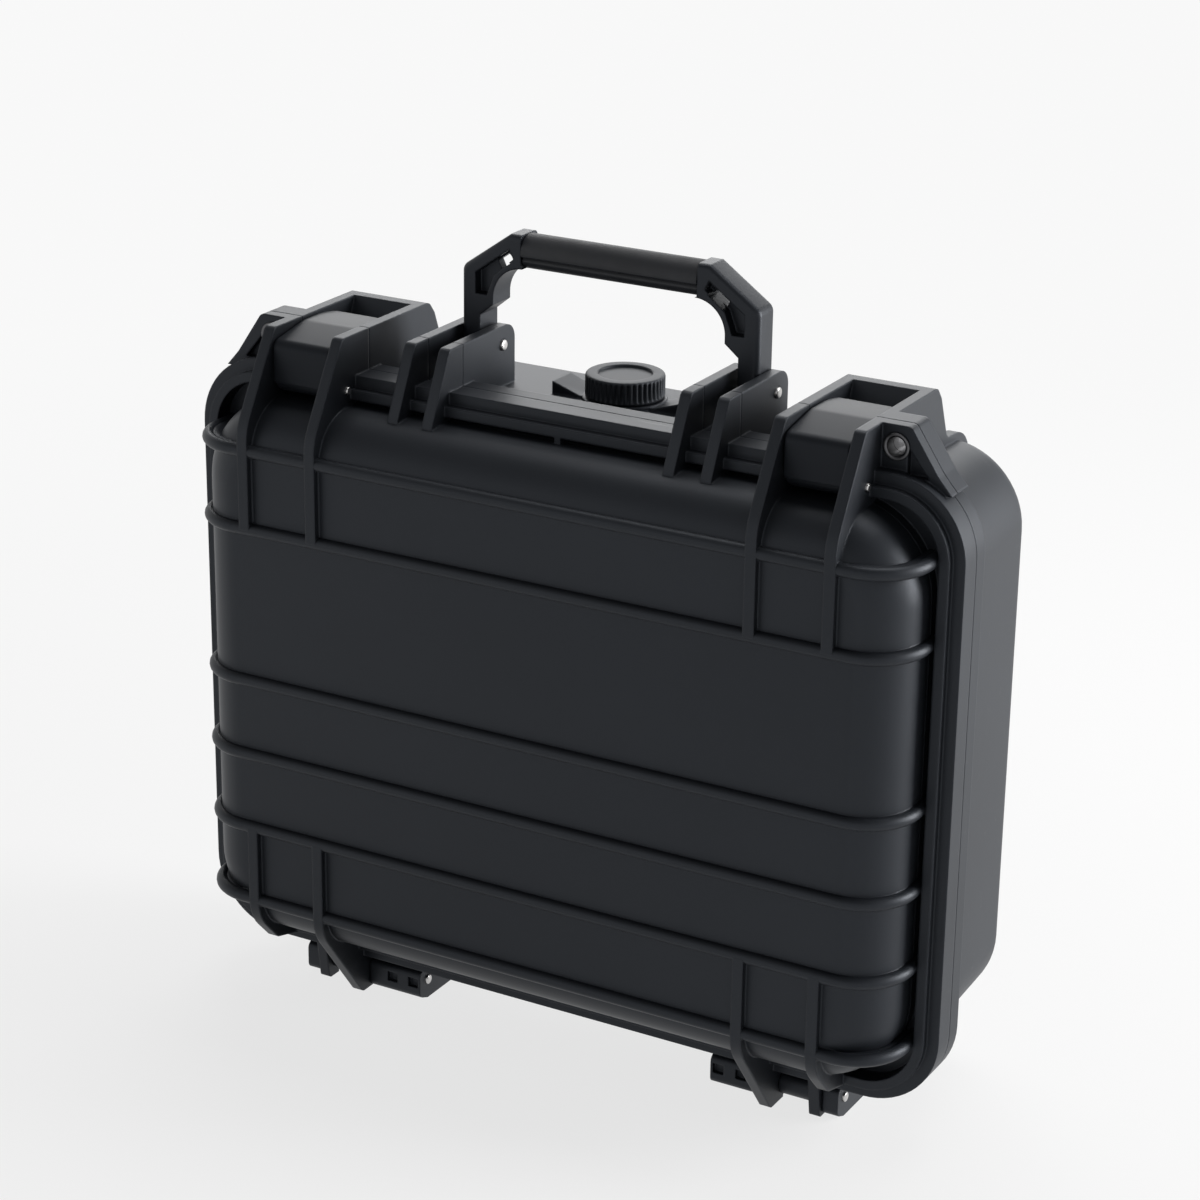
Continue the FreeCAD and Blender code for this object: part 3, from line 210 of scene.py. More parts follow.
@dataclass(frozen=True)
class MouldedPlastic:
    """Filled polypropylene with a fine spark-eroded texture, and edges lightened in patches:
    part rubbed wear, part painted highlight.
    """

    name: str
    colour: Colour
    roughness: float = 0.46
    grain: float = 0.0009
    grain_depth: float = 0.00003
    grain_strength: float = 0.55
    fine_grain_share: float = 0.4
    cloud: float = 0.07
    haze: float = 0.12
    edge_radius: float = 0.0011
    edge_samples: int = 6
    edge_bend: Point = (0.998, 0.93)
    edge_patch: float = 0.012
    # Factor for the lighter edge colour: painted highlight along the edges, together with
    # rubbed wear.
    edge_wear_and_highlight_gain: float = 1.8
    scuff: float = 0.004
    scuff_band: Point = (0.62, 0.74)
    scuff_shine: float = 0.82
    refraction: float = 1.49
    gloss_level: float = 0.36
    gloss_tint: Colour = (0.84, 0.90, 1.0)

    def build(self) -> bpy.types.Material:
        """Makes the material: mottled colour, edges lightened in patches as wear and painted
        highlight, grain and fine scuffs.

        Returns:
            The material.
        """
        material, net = new_material(self.name)
        cloudy = net.noise(self.cloud, detail=4.0, roughness=0.6)
        mottled = net.ramp(cloudy, (0.3, shade(self.colour, 1.0 - self.haze)),
                           (0.7, shade(self.colour, 1.0 + self.haze)))
        rounded = net.add("ShaderNodeBevel", {"samples": self.edge_samples},
                          Radius=self.edge_radius)
        plain = net.add("ShaderNodeNewGeometry").outputs["Normal"]
        agreement = net.add("ShaderNodeVectorMath", {"operation": "DOT_PRODUCT"},
                            i0=rounded.outputs[0], i1=plain).outputs["Value"]
        # Edges found from the bevel normal get a lighter colour in noise patches: painted
        # highlight, together with rubbed wear.
        edge = net.add("ShaderNodeMapRange", Value=agreement, From_Min=self.edge_bend[0],
                       From_Max=self.edge_bend[1])
        patchy = net.math("MULTIPLY", edge.outputs[0], net.noise(self.edge_patch, detail=3.0))
        worn_and_highlit = net.add("ShaderNodeMix", {"data_type": "RGBA"}, i0=patchy, i6=mottled,
                       i7=(*shade(self.colour, self.edge_wear_and_highlight_gain), 1.0))
        coarse = net.noise(self.grain, detail=2.0, roughness=0.7)
        fine = net.noise(self.grain * self.fine_grain_share, detail=1.0)
        height = net.math("ADD", coarse, net.math("MULTIPLY", fine, 0.5))
        bump = net.add("ShaderNodeBump", Strength=self.grain_strength,
                       Distance=self.grain_depth, Height=height, Normal=rounded.outputs[0])
        scuffs = net.noise(self.scuff, detail=6.0, stretch=(0.15, 1.0, 1.0), roughness=0.7)
        scuffed = net.add("ShaderNodeMapRange", Value=scuffs, From_Min=self.scuff_band[0],
                          From_Max=self.scuff_band[1], To_Min=self.roughness,
                          To_Max=self.roughness * self.scuff_shine)
        shader = net.add("ShaderNodeBsdfPrincipled", Base_Color=worn_and_highlit.outputs[2],
                         Roughness=scuffed.outputs[0], IOR=self.refraction,
                         Specular_IOR_Level=self.gloss_level,
                         Specular_Tint=(*self.gloss_tint, 1.0), Normal=bump.outputs[0])
        net.add("ShaderNodeOutputMaterial", Surface=shader.outputs[0])
        return material


@dataclass(frozen=True)
class SoftRubber:
    """Matt rubber with a faint bloom."""

    name: str
    colour: Colour
    roughness: float = 0.7
    roughness_spread: float = 0.08
    rub_patch: float = 0.006
    bloom_patch: float = 0.02
    bloom_gain: float = 1.5
    grain: float = 0.0006
    grain_depth: float = 0.00003
    grain_strength: float = 0.4

    def build(self) -> bpy.types.Material:
        """Makes the material: bloom in patches and a fine skin.

        Returns:
            The material.
        """
        material, net = new_material(self.name)
        patches = net.noise(self.bloom_patch, detail=5.0, roughness=0.65)
        bloom = net.ramp(patches, (0.35, self.colour),
                         (0.75, shade(self.colour, self.bloom_gain)))
        skin = net.add("ShaderNodeBump", Strength=self.grain_strength,
                       Distance=self.grain_depth, Height=net.noise(self.grain, detail=2.0))
        rough = net.add("ShaderNodeMapRange", Value=net.noise(self.rub_patch, detail=3.0),
                        To_Min=self.roughness - self.roughness_spread,
                        To_Max=self.roughness + self.roughness_spread)
        shader = net.add("ShaderNodeBsdfPrincipled", Base_Color=bloom,
                         Roughness=rough.outputs[0], Normal=skin.outputs[0])
        net.add("ShaderNodeOutputMaterial", Surface=shader.outputs[0])
        return material


@dataclass(frozen=True)
class StainlessSteel:
    """Turned stainless steel with fine tool marks and a little tarnish."""

    name: str
    colour: Colour = (0.62, 0.61, 0.60)
    roughness: float = 0.27
    shine: float = 0.07
    dullness: float = 0.13
    dull_spot: float = 0.0015
    tarnish_patch: float = 0.003
    tarnish: float = 0.8
    mark: float = 0.0004
    mark_depth: float = 0.00002
    mark_strength: float = 0.25

    def build(self) -> bpy.types.Material:
        """Makes the material: tool marks in the bump and dull spots in the roughness.

        Returns:
            The material.
        """
        material, net = new_material(self.name)
        tarnished = net.ramp(net.noise(self.tarnish_patch, detail=4.0),
                             (0.3, shade(self.colour, self.tarnish)), (0.6, self.colour))
        turned = net.noise(self.mark, detail=1.0, stretch=(1.0, 0.2, 0.2))
        marks = net.add("ShaderNodeBump", Strength=self.mark_strength,
                        Distance=self.mark_depth, Height=turned)
        rough = net.add("ShaderNodeMapRange", Value=net.noise(self.dull_spot, detail=3.0),
                        To_Min=self.roughness - self.shine,
                        To_Max=self.roughness + self.dullness)
        shader = net.add("ShaderNodeBsdfPrincipled", Base_Color=tarnished, Metallic=1.0,
                         Roughness=rough.outputs[0], Normal=marks.outputs[0])
        net.add("ShaderNodeOutputMaterial", Surface=shader.outputs[0])
        return material


@dataclass(frozen=True)
class Membrane:
    """White breathable film with a fibrous surface."""

    name: str
    colour: Colour = (0.8, 0.8, 0.77)
    roughness: float = 0.75
    fibre: float = 0.0005
    fibre_depth: float = 0.00005
    fibre_strength: float = 0.5
    fibre_shade: float = 0.85

    def build(self) -> bpy.types.Material:
        """Makes the material: fibres in the colour and the bump.

        Returns:
            The material.
        """
        material, net = new_material(self.name)
        fibres = net.noise(self.fibre, detail=4.0, roughness=0.7)
        colour = net.ramp(fibres, (0.3, shade(self.colour, self.fibre_shade)),
                          (0.7, self.colour))
        bump = net.add("ShaderNodeBump", Strength=self.fibre_strength,
                       Distance=self.fibre_depth, Height=fibres)
        shader = net.add("ShaderNodeBsdfPrincipled", Base_Color=colour,
                         Roughness=self.roughness, Normal=bump.outputs[0])
        net.add("ShaderNodeOutputMaterial", Surface=shader.outputs[0])
        return material


class Finish(Enum):
    """Every finish on the case."""

    SHELL = MouldedPlastic("shell_finish", (0.0125, 0.0143, 0.0178))
    LEVER = MouldedPlastic("lever_finish", (0.0110, 0.0126, 0.0158), roughness=0.43,
                           grain=0.0006, grain_depth=0.00002, edge_wear_and_highlight_gain=1.7,
                           gloss_level=0.2)
    HANDLE = MouldedPlastic("handle_finish", (0.0088, 0.0102, 0.0132), roughness=0.42)
    VALVE = MouldedPlastic("valve_finish", (0.0075, 0.0086, 0.0108), roughness=0.5,
                           grain=0.0005, grain_depth=0.00002)
    GRIP = SoftRubber("grip_finish", (0.0080, 0.0092, 0.0122), roughness=0.6)
    SEAL = SoftRubber("seal_finish", (0.012, 0.012, 0.012), roughness=0.55, grain=0.0004)
    STEEL = StainlessSteel("steel_finish")
    DARK_STEEL = StainlessSteel("dark_steel_finish", (0.11, 0.11, 0.115), roughness=0.36)
    FILM = Membrane("film_finish")

    @property
    def material(self) -> bpy.types.Material:
        """The finish's material, made when it is first asked for."""
        return bpy.data.materials.get(self.value.name) or self.value.build()


# Meshes


def quarter_turn(steps: int) -> list[float]:
    """Makes the angles of a quarter turn in even steps.

    Args:
        steps: number of steps.

    Returns:
        The angles from 0 to a right angle, in radians.
    """
    return [math.pi / 2 * k / steps for k in range(steps + 1)]


def ringed_mesh(name: str, rings: Iterable[Iterable[Vector]]) -> bpy.types.Mesh:
    """Joins closed rings of points, each to the next and the last to the first.

    Args:
        name: the mesh's name.
        rings: rings with the same number of points.

    Returns:
        The closed mesh, with its faces outwards.
    """
    work = bmesh.new()
    loops = [[work.verts.new(point) for point in ring] for ring in rings]
    for here, there in zip(loops, loops[1:] + loops[:1]):
        for k in range(len(here)):
            n = (k + 1) % len(here)
            work.faces.new((here[k], here[n], there[n], there[k]))
    bmesh.ops.remove_doubles(work, verts=work.verts, dist=TURNED_JOIN)
    bmesh.ops.recalc_face_normals(work, faces=work.faces)
    mesh = bpy.data.meshes.new(name)
    work.to_mesh(mesh)
    work.free()
    return mesh


def turned_mesh(name: str, outline: Sequence[Point], centre: Vector, axis: Vector,
                steps: int) -> bpy.types.Mesh:
    """Turns a half outline about an axis.

    Args:
        name: the mesh's name.
        outline: closed outline as (radius, place along the axis).
        centre: the origin of the outline.
        axis: direction of the axis.
        steps: faces round the axis.

    Returns:
        The closed mesh, with its faces outwards.
    """
    along = axis.normalized()
    across = along.orthogonal().normalized()
    rays = [Matrix.Rotation(2.0 * math.pi * k / steps, 3, along) @ across
            for k in range(steps)]
    return ringed_mesh(name, ([centre + ray * radius + along * place
                               for radius, place in outline] for ray in rays))


def smooth_by_angle(mesh: bpy.types.Mesh, degrees: float = PIECE_CREASE) -> None:
    """Shades a mesh smooth, with its sharper edges kept.

    Args:
        mesh: the mesh.
        degrees: angle from which an edge stays sharp.
    """
    work = bmesh.new()
    work.from_mesh(mesh)
    limit = math.radians(degrees)
    for face in work.faces:
        face.smooth = True
    for edge in work.edges:
        edge.smooth = len(edge.link_faces) == 2 and edge.calc_face_angle(0.0) < limit
    work.to_mesh(mesh)
    work.free()


def add_piece(name: str, mesh: bpy.types.Mesh, finish: Finish, slot: str, body: str,
              *stands_for: str) -> None:
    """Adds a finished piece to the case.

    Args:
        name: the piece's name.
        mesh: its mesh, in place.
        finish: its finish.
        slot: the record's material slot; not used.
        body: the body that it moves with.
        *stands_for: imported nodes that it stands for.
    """
    piece = bpy.data.objects.new(name, mesh)
    bpy.context.scene.collection.objects.link(piece)
    mesh.materials.clear()
    mesh.materials.append(finish.material)
    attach(piece, body)
    if stands_for:
        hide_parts(*stands_for)
    LOG.info("%s: %d faces, rides on %s", name, len(mesh.polygons), body)


def dress_node(node: str, finish: Finish) -> None:
    """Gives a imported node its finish, and shades its round faces smooth.

    Args:
        node: the node's name.
        finish: its finish.
    """
    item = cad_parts[node]
    for slot in item.material_slots:
        slot.material = finish.material
    modifier = item.modifiers.new("smooth_faces", "NODES")
    modifier.node_group = smoothing_tree()
    LOG.info("%s: %s", node, finish.value.name)


@cache
def smoothing_tree() -> bpy.types.NodeTree:
    """Makes the shared tree that joins loose triangles and shades round faces smooth.

    Returns:
        The tree.
    """
    tree = bpy.data.node_groups.new("smooth_faces", "GeometryNodeTree")
    tree.interface.new_socket("Geometry", in_out="INPUT", socket_type="NodeSocketGeometry")
    tree.interface.new_socket("Geometry", in_out="OUTPUT", socket_type="NodeSocketGeometry")
    net = Wiring(tree)
    source = net.add("NodeGroupInput").outputs[0]
    joined = net.add("GeometryNodeMergeByDistance", Geometry=source,
                     Distance=PACKED_JOIN)
    smooth = net.add("GeometryNodeSetShadeSmooth", {"domain": "FACE"},
                     Geometry=joined.outputs[0], Shade_Smooth=True)
    angle = net.add("GeometryNodeInputMeshEdgeAngle").outputs["Unsigned Angle"]
    steep = net.add("FunctionNodeCompare", {"operation": "GREATER_THAN"}, i0=angle,
                    i1=math.radians(PACKED_CREASE))
    sharp = net.add("GeometryNodeSetShadeSmooth", {"domain": "EDGE"},
                    Geometry=smooth.outputs[0], Selection=steep.outputs[0],
                    Shade_Smooth=False)
    net.add("NodeGroupOutput", i0=sharp.outputs[0])
    return tree


# Geometry trees


def new_tree(name: str, numbers: dict[str, float]) -> tuple[bpy.types.NodeTree, Wiring, dict]:
    """Starts a geometry tree with a named input for each of its sizes.

    Args:
        name: the tree's name.
        numbers: the inputs' names, with a whole number for a count.

    Returns:
        The tree, its wiring, and the input sockets by name.
    """
    tree = bpy.data.node_groups.new(name, "GeometryNodeTree")
    tree.interface.new_socket("Geometry", in_out="INPUT", socket_type="NodeSocketGeometry")
    for label, number in numbers.items():
        kind = "NodeSocketInt" if isinstance(number, int) else "NodeSocketFloat"
        socket = tree.interface.new_socket(label, in_out="INPUT", socket_type=kind)
        socket.default_value = number
    tree.interface.new_socket("Finish", in_out="INPUT", socket_type="NodeSocketMaterial")
    tree.interface.new_socket("Geometry", in_out="OUTPUT", socket_type="NodeSocketGeometry")
    net = Wiring(tree)
    source = net.add("NodeGroupInput")
    return tree, net, {socket.name: socket for socket in source.outputs if socket.name}


def close_tree(net: Wiring, shape: bpy.types.NodeSocket, finish: bpy.types.NodeSocket) -> None:
    """Ends a geometry tree in plain faces that wear the finish.

    Args:
        net: the tree's wiring.
        shape: its geometry.
        finish: its material input.
    """
    real = net.add("GeometryNodeRealizeInstances", Geometry=shape)
    smooth = net.add("GeometryNodeSetShadeSmooth", Geometry=real.outputs[0], Shade_Smooth=True)
    worn_and_highlit = net.add("GeometryNodeSetMaterial", Geometry=smooth.outputs[0], Material=finish)
    net.add("NodeGroupOutput", i0=worn_and_highlit.outputs[0])


@cache
def bar_tree() -> bpy.types.NodeTree:
    """Makes the tree that sweeps a round bar along the carrier's line, in one or more rows.

    Returns:
        The tree.
    """
    tree, net, sizes = new_tree("bars_along_path", {
        "Bar Radius": 0.001, "Flatness": 1.0, "Bend Radius": 0.01, "Bend Points": 10,
        "Round Points": 16, "Rows": 1, "Row Spacing": 0.01, "Bare Row": -1})
    line = net.add("GeometryNodeMeshToCurve", Mesh=sizes["Geometry"])
    bent = net.add("GeometryNodeFilletCurve", {"mode": "POLY"}, Curve=line.outputs[0],
                   Count=sizes["Bend Points"], Radius=sizes["Bend Radius"])
    ring = net.add("GeometryNodeCurvePrimitiveCircle", Resolution=sizes["Round Points"],
                   Radius=sizes["Bar Radius"])
    flat = net.add("ShaderNodeCombineXYZ", X=sizes["Flatness"], Y=1.0, Z=1.0)
    section = net.add("GeometryNodeTransform", Geometry=ring.outputs[0], Scale=flat.outputs[0])
    bar = net.add("GeometryNodeCurveToMesh", Curve=bent.outputs[0],
                  Profile_Curve=section.outputs[0], Fill_Caps=True)
    step = net.add("ShaderNodeCombineXYZ", X=0.0, Y=0.0, Z=sizes["Row Spacing"])
    rows = net.add("GeometryNodeMeshLine", Count=sizes["Rows"], Offset=step.outputs[0])
    number = net.add("GeometryNodeInputIndex").outputs[0]
    filled = net.add("FunctionNodeCompare", {"data_type": "INT", "operation": "NOT_EQUAL"},
                     i2=number, i3=sizes["Bare Row"])
    bars = net.add("GeometryNodeInstanceOnPoints", Points=rows.outputs[0],
                   Selection=filled.outputs[0], Instance=bar.outputs[0])
    close_tree(net, bars.outputs[0], sizes["Finish"])
    return tree


def flute_tree() -> bpy.types.NodeTree:
    """Makes the tree that presses flutes into the side of an upright round body.

    Returns:
        The tree.
    """
    tree, net, sizes = new_tree("flutes_round_axis", {
        "Flutes": 36, "Depth": 0.001, "Sharpness": 1.5, "Least Radius": 0.01,
        "Axis X": 0.0, "Axis Y": 0.0, "Low": 0.0, "High": 0.01, "Run Out": 0.001})
    place = net.add("GeometryNodeInputPosition").outputs[0]
    axis = net.add("ShaderNodeCombineXYZ", X=sizes["Axis X"], Y=sizes["Axis Y"], Z=0.0)
    arm = net.add("ShaderNodeVectorMath", {"operation": "SUBTRACT"}, i0=place,
                  i1=axis.outputs[0])
    parts = net.add("ShaderNodeSeparateXYZ", Vector=arm.outputs[0])
    level = net.add("ShaderNodeCombineXYZ", X=parts.outputs[0], Y=parts.outputs[1], Z=0.0)
    ray = net.add("ShaderNodeVectorMath", {"operation": "NORMALIZE"}, i0=level.outputs[0])
    reach = net.add("ShaderNodeVectorMath", {"operation": "LENGTH"},
                    i0=level.outputs[0]).outputs["Value"]
    angle = net.math("ARCTAN2", parts.outputs[1], parts.outputs[0])
    wave = net.math("COSINE", net.math("MULTIPLY", angle, sizes["Flutes"]))
    valley = net.math("POWER", net.math("MULTIPLY_ADD", wave, 0.5, 0.5), sizes["Sharpness"])
    height = parts.outputs[2]
    rise = net.math("DIVIDE", net.math("SUBTRACT", height, sizes["Low"]), sizes["Run Out"])
    fall = net.math("DIVIDE", net.math("SUBTRACT", sizes["High"], height), sizes["Run Out"])
    band = net.add("ShaderNodeClamp", Value=net.math("MINIMUM", rise, fall)).outputs[0]
    outer = net.math("GREATER_THAN", reach, sizes["Least Radius"])
    depth = net.math("MULTIPLY", net.math("MULTIPLY", valley, band),
                     net.math("MULTIPLY", outer, sizes["Depth"]))
    inward = net.add("ShaderNodeVectorMath", {"operation": "SCALE"}, i0=ray.outputs[0],
                     Scale=net.math("MULTIPLY", depth, -1.0))
    pressed = net.add("GeometryNodeSetPosition", Geometry=sizes["Geometry"],
                      Offset=inward.outputs[0])
    close_tree(net, pressed.outputs[0], sizes["Finish"])
    return tree


def grown_mesh(name: str, carrier: bpy.types.Mesh, tree: bpy.types.NodeTree, finish: Finish,
               **numbers: float) -> bpy.types.Mesh:
    """Runs a geometry tree on a carrier and keeps the result as a plain mesh.

    Args:
        name: the mesh's name.
        carrier: the line or body that the tree starts from.
        tree: the tree.
        finish: the material that it sets.
        **numbers: values of its named inputs, with underscores for spaces.

    Returns:
        The plain mesh, with its faces outwards.
    """
    holder = bpy.data.objects.new(f"{name}_carrier", carrier)
    bpy.context.scene.collection.objects.link(holder)
    modifier = holder.modifiers.new(name, "NODES")
    modifier.node_group = tree
    values = {label.replace("_", " "): value for label, value in numbers.items()}
    values["Finish"] = finish.material
    for item in tree.interface.items_tree:
        if item.in_out == "INPUT" and item.name in values:
            modifier[item.identifier] = values[item.name]
    depsgraph = bpy.context.evaluated_depsgraph_get()
    mesh = bpy.data.meshes.new_from_object(holder.evaluated_get(depsgraph))
    mesh.name = name
    bpy.data.objects.remove(holder)
    work = bmesh.new()
    work.from_mesh(mesh)
    bmesh.ops.remove_doubles(work, verts=work.verts, dist=GROWN_JOIN)
    bmesh.ops.recalc_face_normals(work, faces=work.faces)
    work.to_mesh(mesh)
    work.free()
    return mesh


def line_mesh(name: str, places: Sequence[Place], closed: bool = False) -> bpy.types.Mesh:
    """Makes a line of edges for a tree to follow.

    Args:
        name: the mesh's name.
        places: its points in order.
        closed: whether the last point joins the first.

    Returns:
        The mesh, with no faces.
    """
    edges = [(k, k + 1) for k in range(len(places) - 1)]
    if closed:
        edges.append((len(places) - 1, 0))
    mesh = bpy.data.meshes.new(name)
    mesh.from_pydata(places, edges, [])
    return mesh


# Sub-assemblies


@dataclass
class Shells:
    """The two moulded halves of the case, with round ribs over the lid's own.

    The ribs stand in even rows, and the bare row leaves room for the plain front panel. Webs
    close the gap that the lowest and the highest rib leave at the lid's rounded corners.
    """

    rib_radius: float = 0.0026
    rib_bend: float = 0.0204
    rib_pitch: float = 0.032
    lowest_rib: float = 0.04595
    rib_rows: int = 7
    bare_row: int = 4
    rib_reach: float = 0.1529
    rib_front: float = -0.0554
    rib_root: float = -0.024
    bend_points: int = 12
    round_points: int = 20
    web_rows: int = 2
    web_inset: float = 0.0029
    web_half_height: float = 0.002
    web_half_depth: float = 0.003

    def bars(self, name: str, inset: float, **numbers: float) -> bpy.types.Mesh:
        """Makes bars that wrap round the lid at the ribs' heights.

        Args:
            name: the mesh's name.
            inset: how far they lie inside the ribs' path.
            **numbers: inputs of the tree that sweeps them.

        Returns:
            Their mesh.
        """
        reach, front = self.rib_reach - inset, self.rib_front + inset
        corners = [(-reach, self.rib_root), (-reach, front), (reach, front),
                   (reach, self.rib_root)]
        line = line_mesh(f"{name}_line", [(x, y, self.lowest_rib) for x, y in corners])
        return grown_mesh(name, line, bar_tree(), Finish.SHELL, Bend_Points=self.bend_points,
                          Bend_Radius=self.rib_bend - inset,
                          Round_Points=self.round_points, **numbers)

    def build(self) -> None:
        """Dresses both halves, and fits the ribs and the webs behind the outer two."""
        for node in ("lid_shell", "base_shell"):
            dress_node(node, Finish.SHELL)
        ribs = self.bars("lid_ribs", 0.0, Bar_Radius=self.rib_radius, Rows=self.rib_rows,
                         Row_Spacing=self.rib_pitch, Bare_Row=self.bare_row)
        webs = self.bars("lid_rib_webs", self.web_inset, Bar_Radius=self.web_half_height,
                         Flatness=self.web_half_depth / self.web_half_height,
                         Rows=self.web_rows, Row_Spacing=self.rib_pitch * (self.rib_rows - 1))
        for mesh in (ribs, webs):
            add_piece(mesh.name, mesh, Finish.SHELL, "shell_plastic", "lid")


@dataclass
class Levers:
    """The two clamp levers."""

    def build(self) -> None:
        """Dresses both levers."""
        for side in Side:
            dress_node(f"latch_{side.value}", Finish.LEVER)


@dataclass
class CarryHandle:
    """The folding handle, and its rubber sleeve made again with a groove on either side."""

    groove_angle: float = -17.0
    groove_width: float = 6.0
    groove_depth: float = 0.0011
    lower_step: float = 0.0004
    core_half: float = 0.0043
    end_radius: float = 0.0006
    end_share: float = 0.3
    crease: float = 40.0
    steps: int = 160

    def skin(self, turn: float, radius: float) -> float:
        """Works out how far the sleeve's skin lies from its middle line.

        Args:
            turn: angle round the sleeve in radians.
            radius: the sleeve's full radius.

        Returns:
            The distance, less in the grooves and below them.
        """
        tilt = math.degrees(math.asin(math.sin(turn)))
        offset = (tilt - self.groove_angle) / self.groove_width
        groove = self.groove_depth * math.exp(-offset * offset)
        return radius - groove - (self.lower_step if offset < 0.0 else 0.0)

    def sleeve(self) -> bpy.types.Mesh:
        """Makes the hollow sleeve with soft ends.

        Returns:
            Its closed mesh.
        """
        low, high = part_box("handle_grip")
        middle, radius = (low + high) / 2.0, (high.z - low.z) / 2.0
        turns = [2.0 * math.pi * k / self.steps for k in range(self.steps)]
        core = [self.core_half / max(abs(math.cos(t)), abs(math.sin(t))) for t in turns]
        skin = [self.skin(t, radius) for t in turns]
        soft, curve = self.end_radius, self.end_radius * self.end_share
        left = [(low.x, soft), (low.x + curve, curve), (low.x + soft, 0.0)]
        right = [(low.x + high.x - x, inset) for x, inset in reversed(left)]
        sections = [(low.x, core), *((x, [reach - inset for reach in skin])
                                     for x, inset in left + right), (high.x, core)]
        return ringed_mesh("grip_sleeve", (
            [Vector((x, middle.y + reach * math.cos(turn), middle.z + reach * math.sin(turn)))
             for reach, turn in zip(reaches, turns)] for x, reaches in sections))

    def build(self) -> None:
        """Dresses the frame and fits the sleeve in the grip's place."""
        dress_node("handle_frame", Finish.HANDLE)
        mesh = self.sleeve()
        smooth_by_angle(mesh, self.crease)
        add_piece("grip_sleeve", mesh, Finish.GRIP, "grip_rubber", "handle", "handle_grip")


@dataclass
class Pins:
    """Steel pins, made again with rounded ends."""

    end_radius: float = 0.0005
    end_share: float = 0.4
    end_steps: int = 3
    steps: int = 40

    def outline(self, radius: float, half: float) -> list[Point]:
        """Draws the half outline of one pin.

        Args:
            radius: the pin's radius.
            half: half its length.

        Returns:
            Corners as (radius, place along the pin).
        """
        soft = min(self.end_radius, radius * self.end_share)
        low = [(radius - soft + soft * math.sin(t), -half + soft - soft * math.cos(t))
               for t in quarter_turn(self.end_steps)]
        high = [(r, -place) for r, place in reversed(low)]
        return [(0.0, -half), *low, *high, (0.0, half)]

    def build(self) -> None:
        """Makes each pin on the body that carries it."""
        for side in Side:
            for kind, body in (("hinge_pin", "base"), ("handle_pin", "base"),
                               ("latch_pin", "lid")):
                node = f"{kind}_{side.value}"
                low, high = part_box(node)
                radius, half = (high.z - low.z) / 2.0, (high.x - low.x) / 2.0
                mesh = turned_mesh(f"{node}_steel", self.outline(radius, half),
                                   (low + high) / 2.0, Vector((1.0, 0.0, 0.0)), self.steps)
                smooth_by_angle(mesh)
                add_piece(f"{node}_steel", mesh, Finish.STEEL, "steel", body, node)


@dataclass
class Eyelets:
    """Flanged bushings of the padlock holes, made again with rolled collars."""

    bore: float = 0.0035
    barrel: float = 0.0042
    lip: float = 0.0009
    roll_steps: int = 6
    steps: int = 56

    def outline(self, collar: float, length: float) -> list[Point]:
        """Draws the half outline of one bushing, from its inner end to its rolled collar.

        Args:
            collar: radius of the collar.
            length: length of the barrel.

        Returns:
            Corners as (radius, place along the bushing).
        """
        quarter = quarter_turn(self.roll_steps)
        mouth = [(self.bore + self.lip * (1.0 - math.cos(t)), self.lip * math.sin(t))
                 for t in quarter]
        half_lip = self.lip / 2.0
        rim = [(collar - half_lip + half_lip * math.sin(2.0 * t),
                half_lip + half_lip * math.cos(2.0 * t)) for t in quarter]
        return [(self.bore, -length), *mouth, *rim, (self.barrel, 0.0),
                (self.barrel, -length)]

    def build(self) -> None:
        """Makes the four bushings."""
        for side in Side:
            for body, way in (("lid", -1.0), ("base", 1.0)):
                node = f"{body}_eyelet_{side.value}"
                low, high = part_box(node)
                collar, depth = (high.z - low.z) / 2.0, high.y - low.y
                middle = (low + high) / 2.0
                face = (low.y + self.lip) if way < 0 else (high.y - self.lip)
                centre = Vector((middle.x, face, middle.z))
                mesh = turned_mesh(f"{node}_steel", self.outline(collar, depth - self.lip),
                                   centre, Vector((0.0, way, 0.0)), self.steps)
                smooth_by_angle(mesh)
                add_piece(f"{node}_steel", mesh, Finish.DARK_STEEL, "steel", body, node)


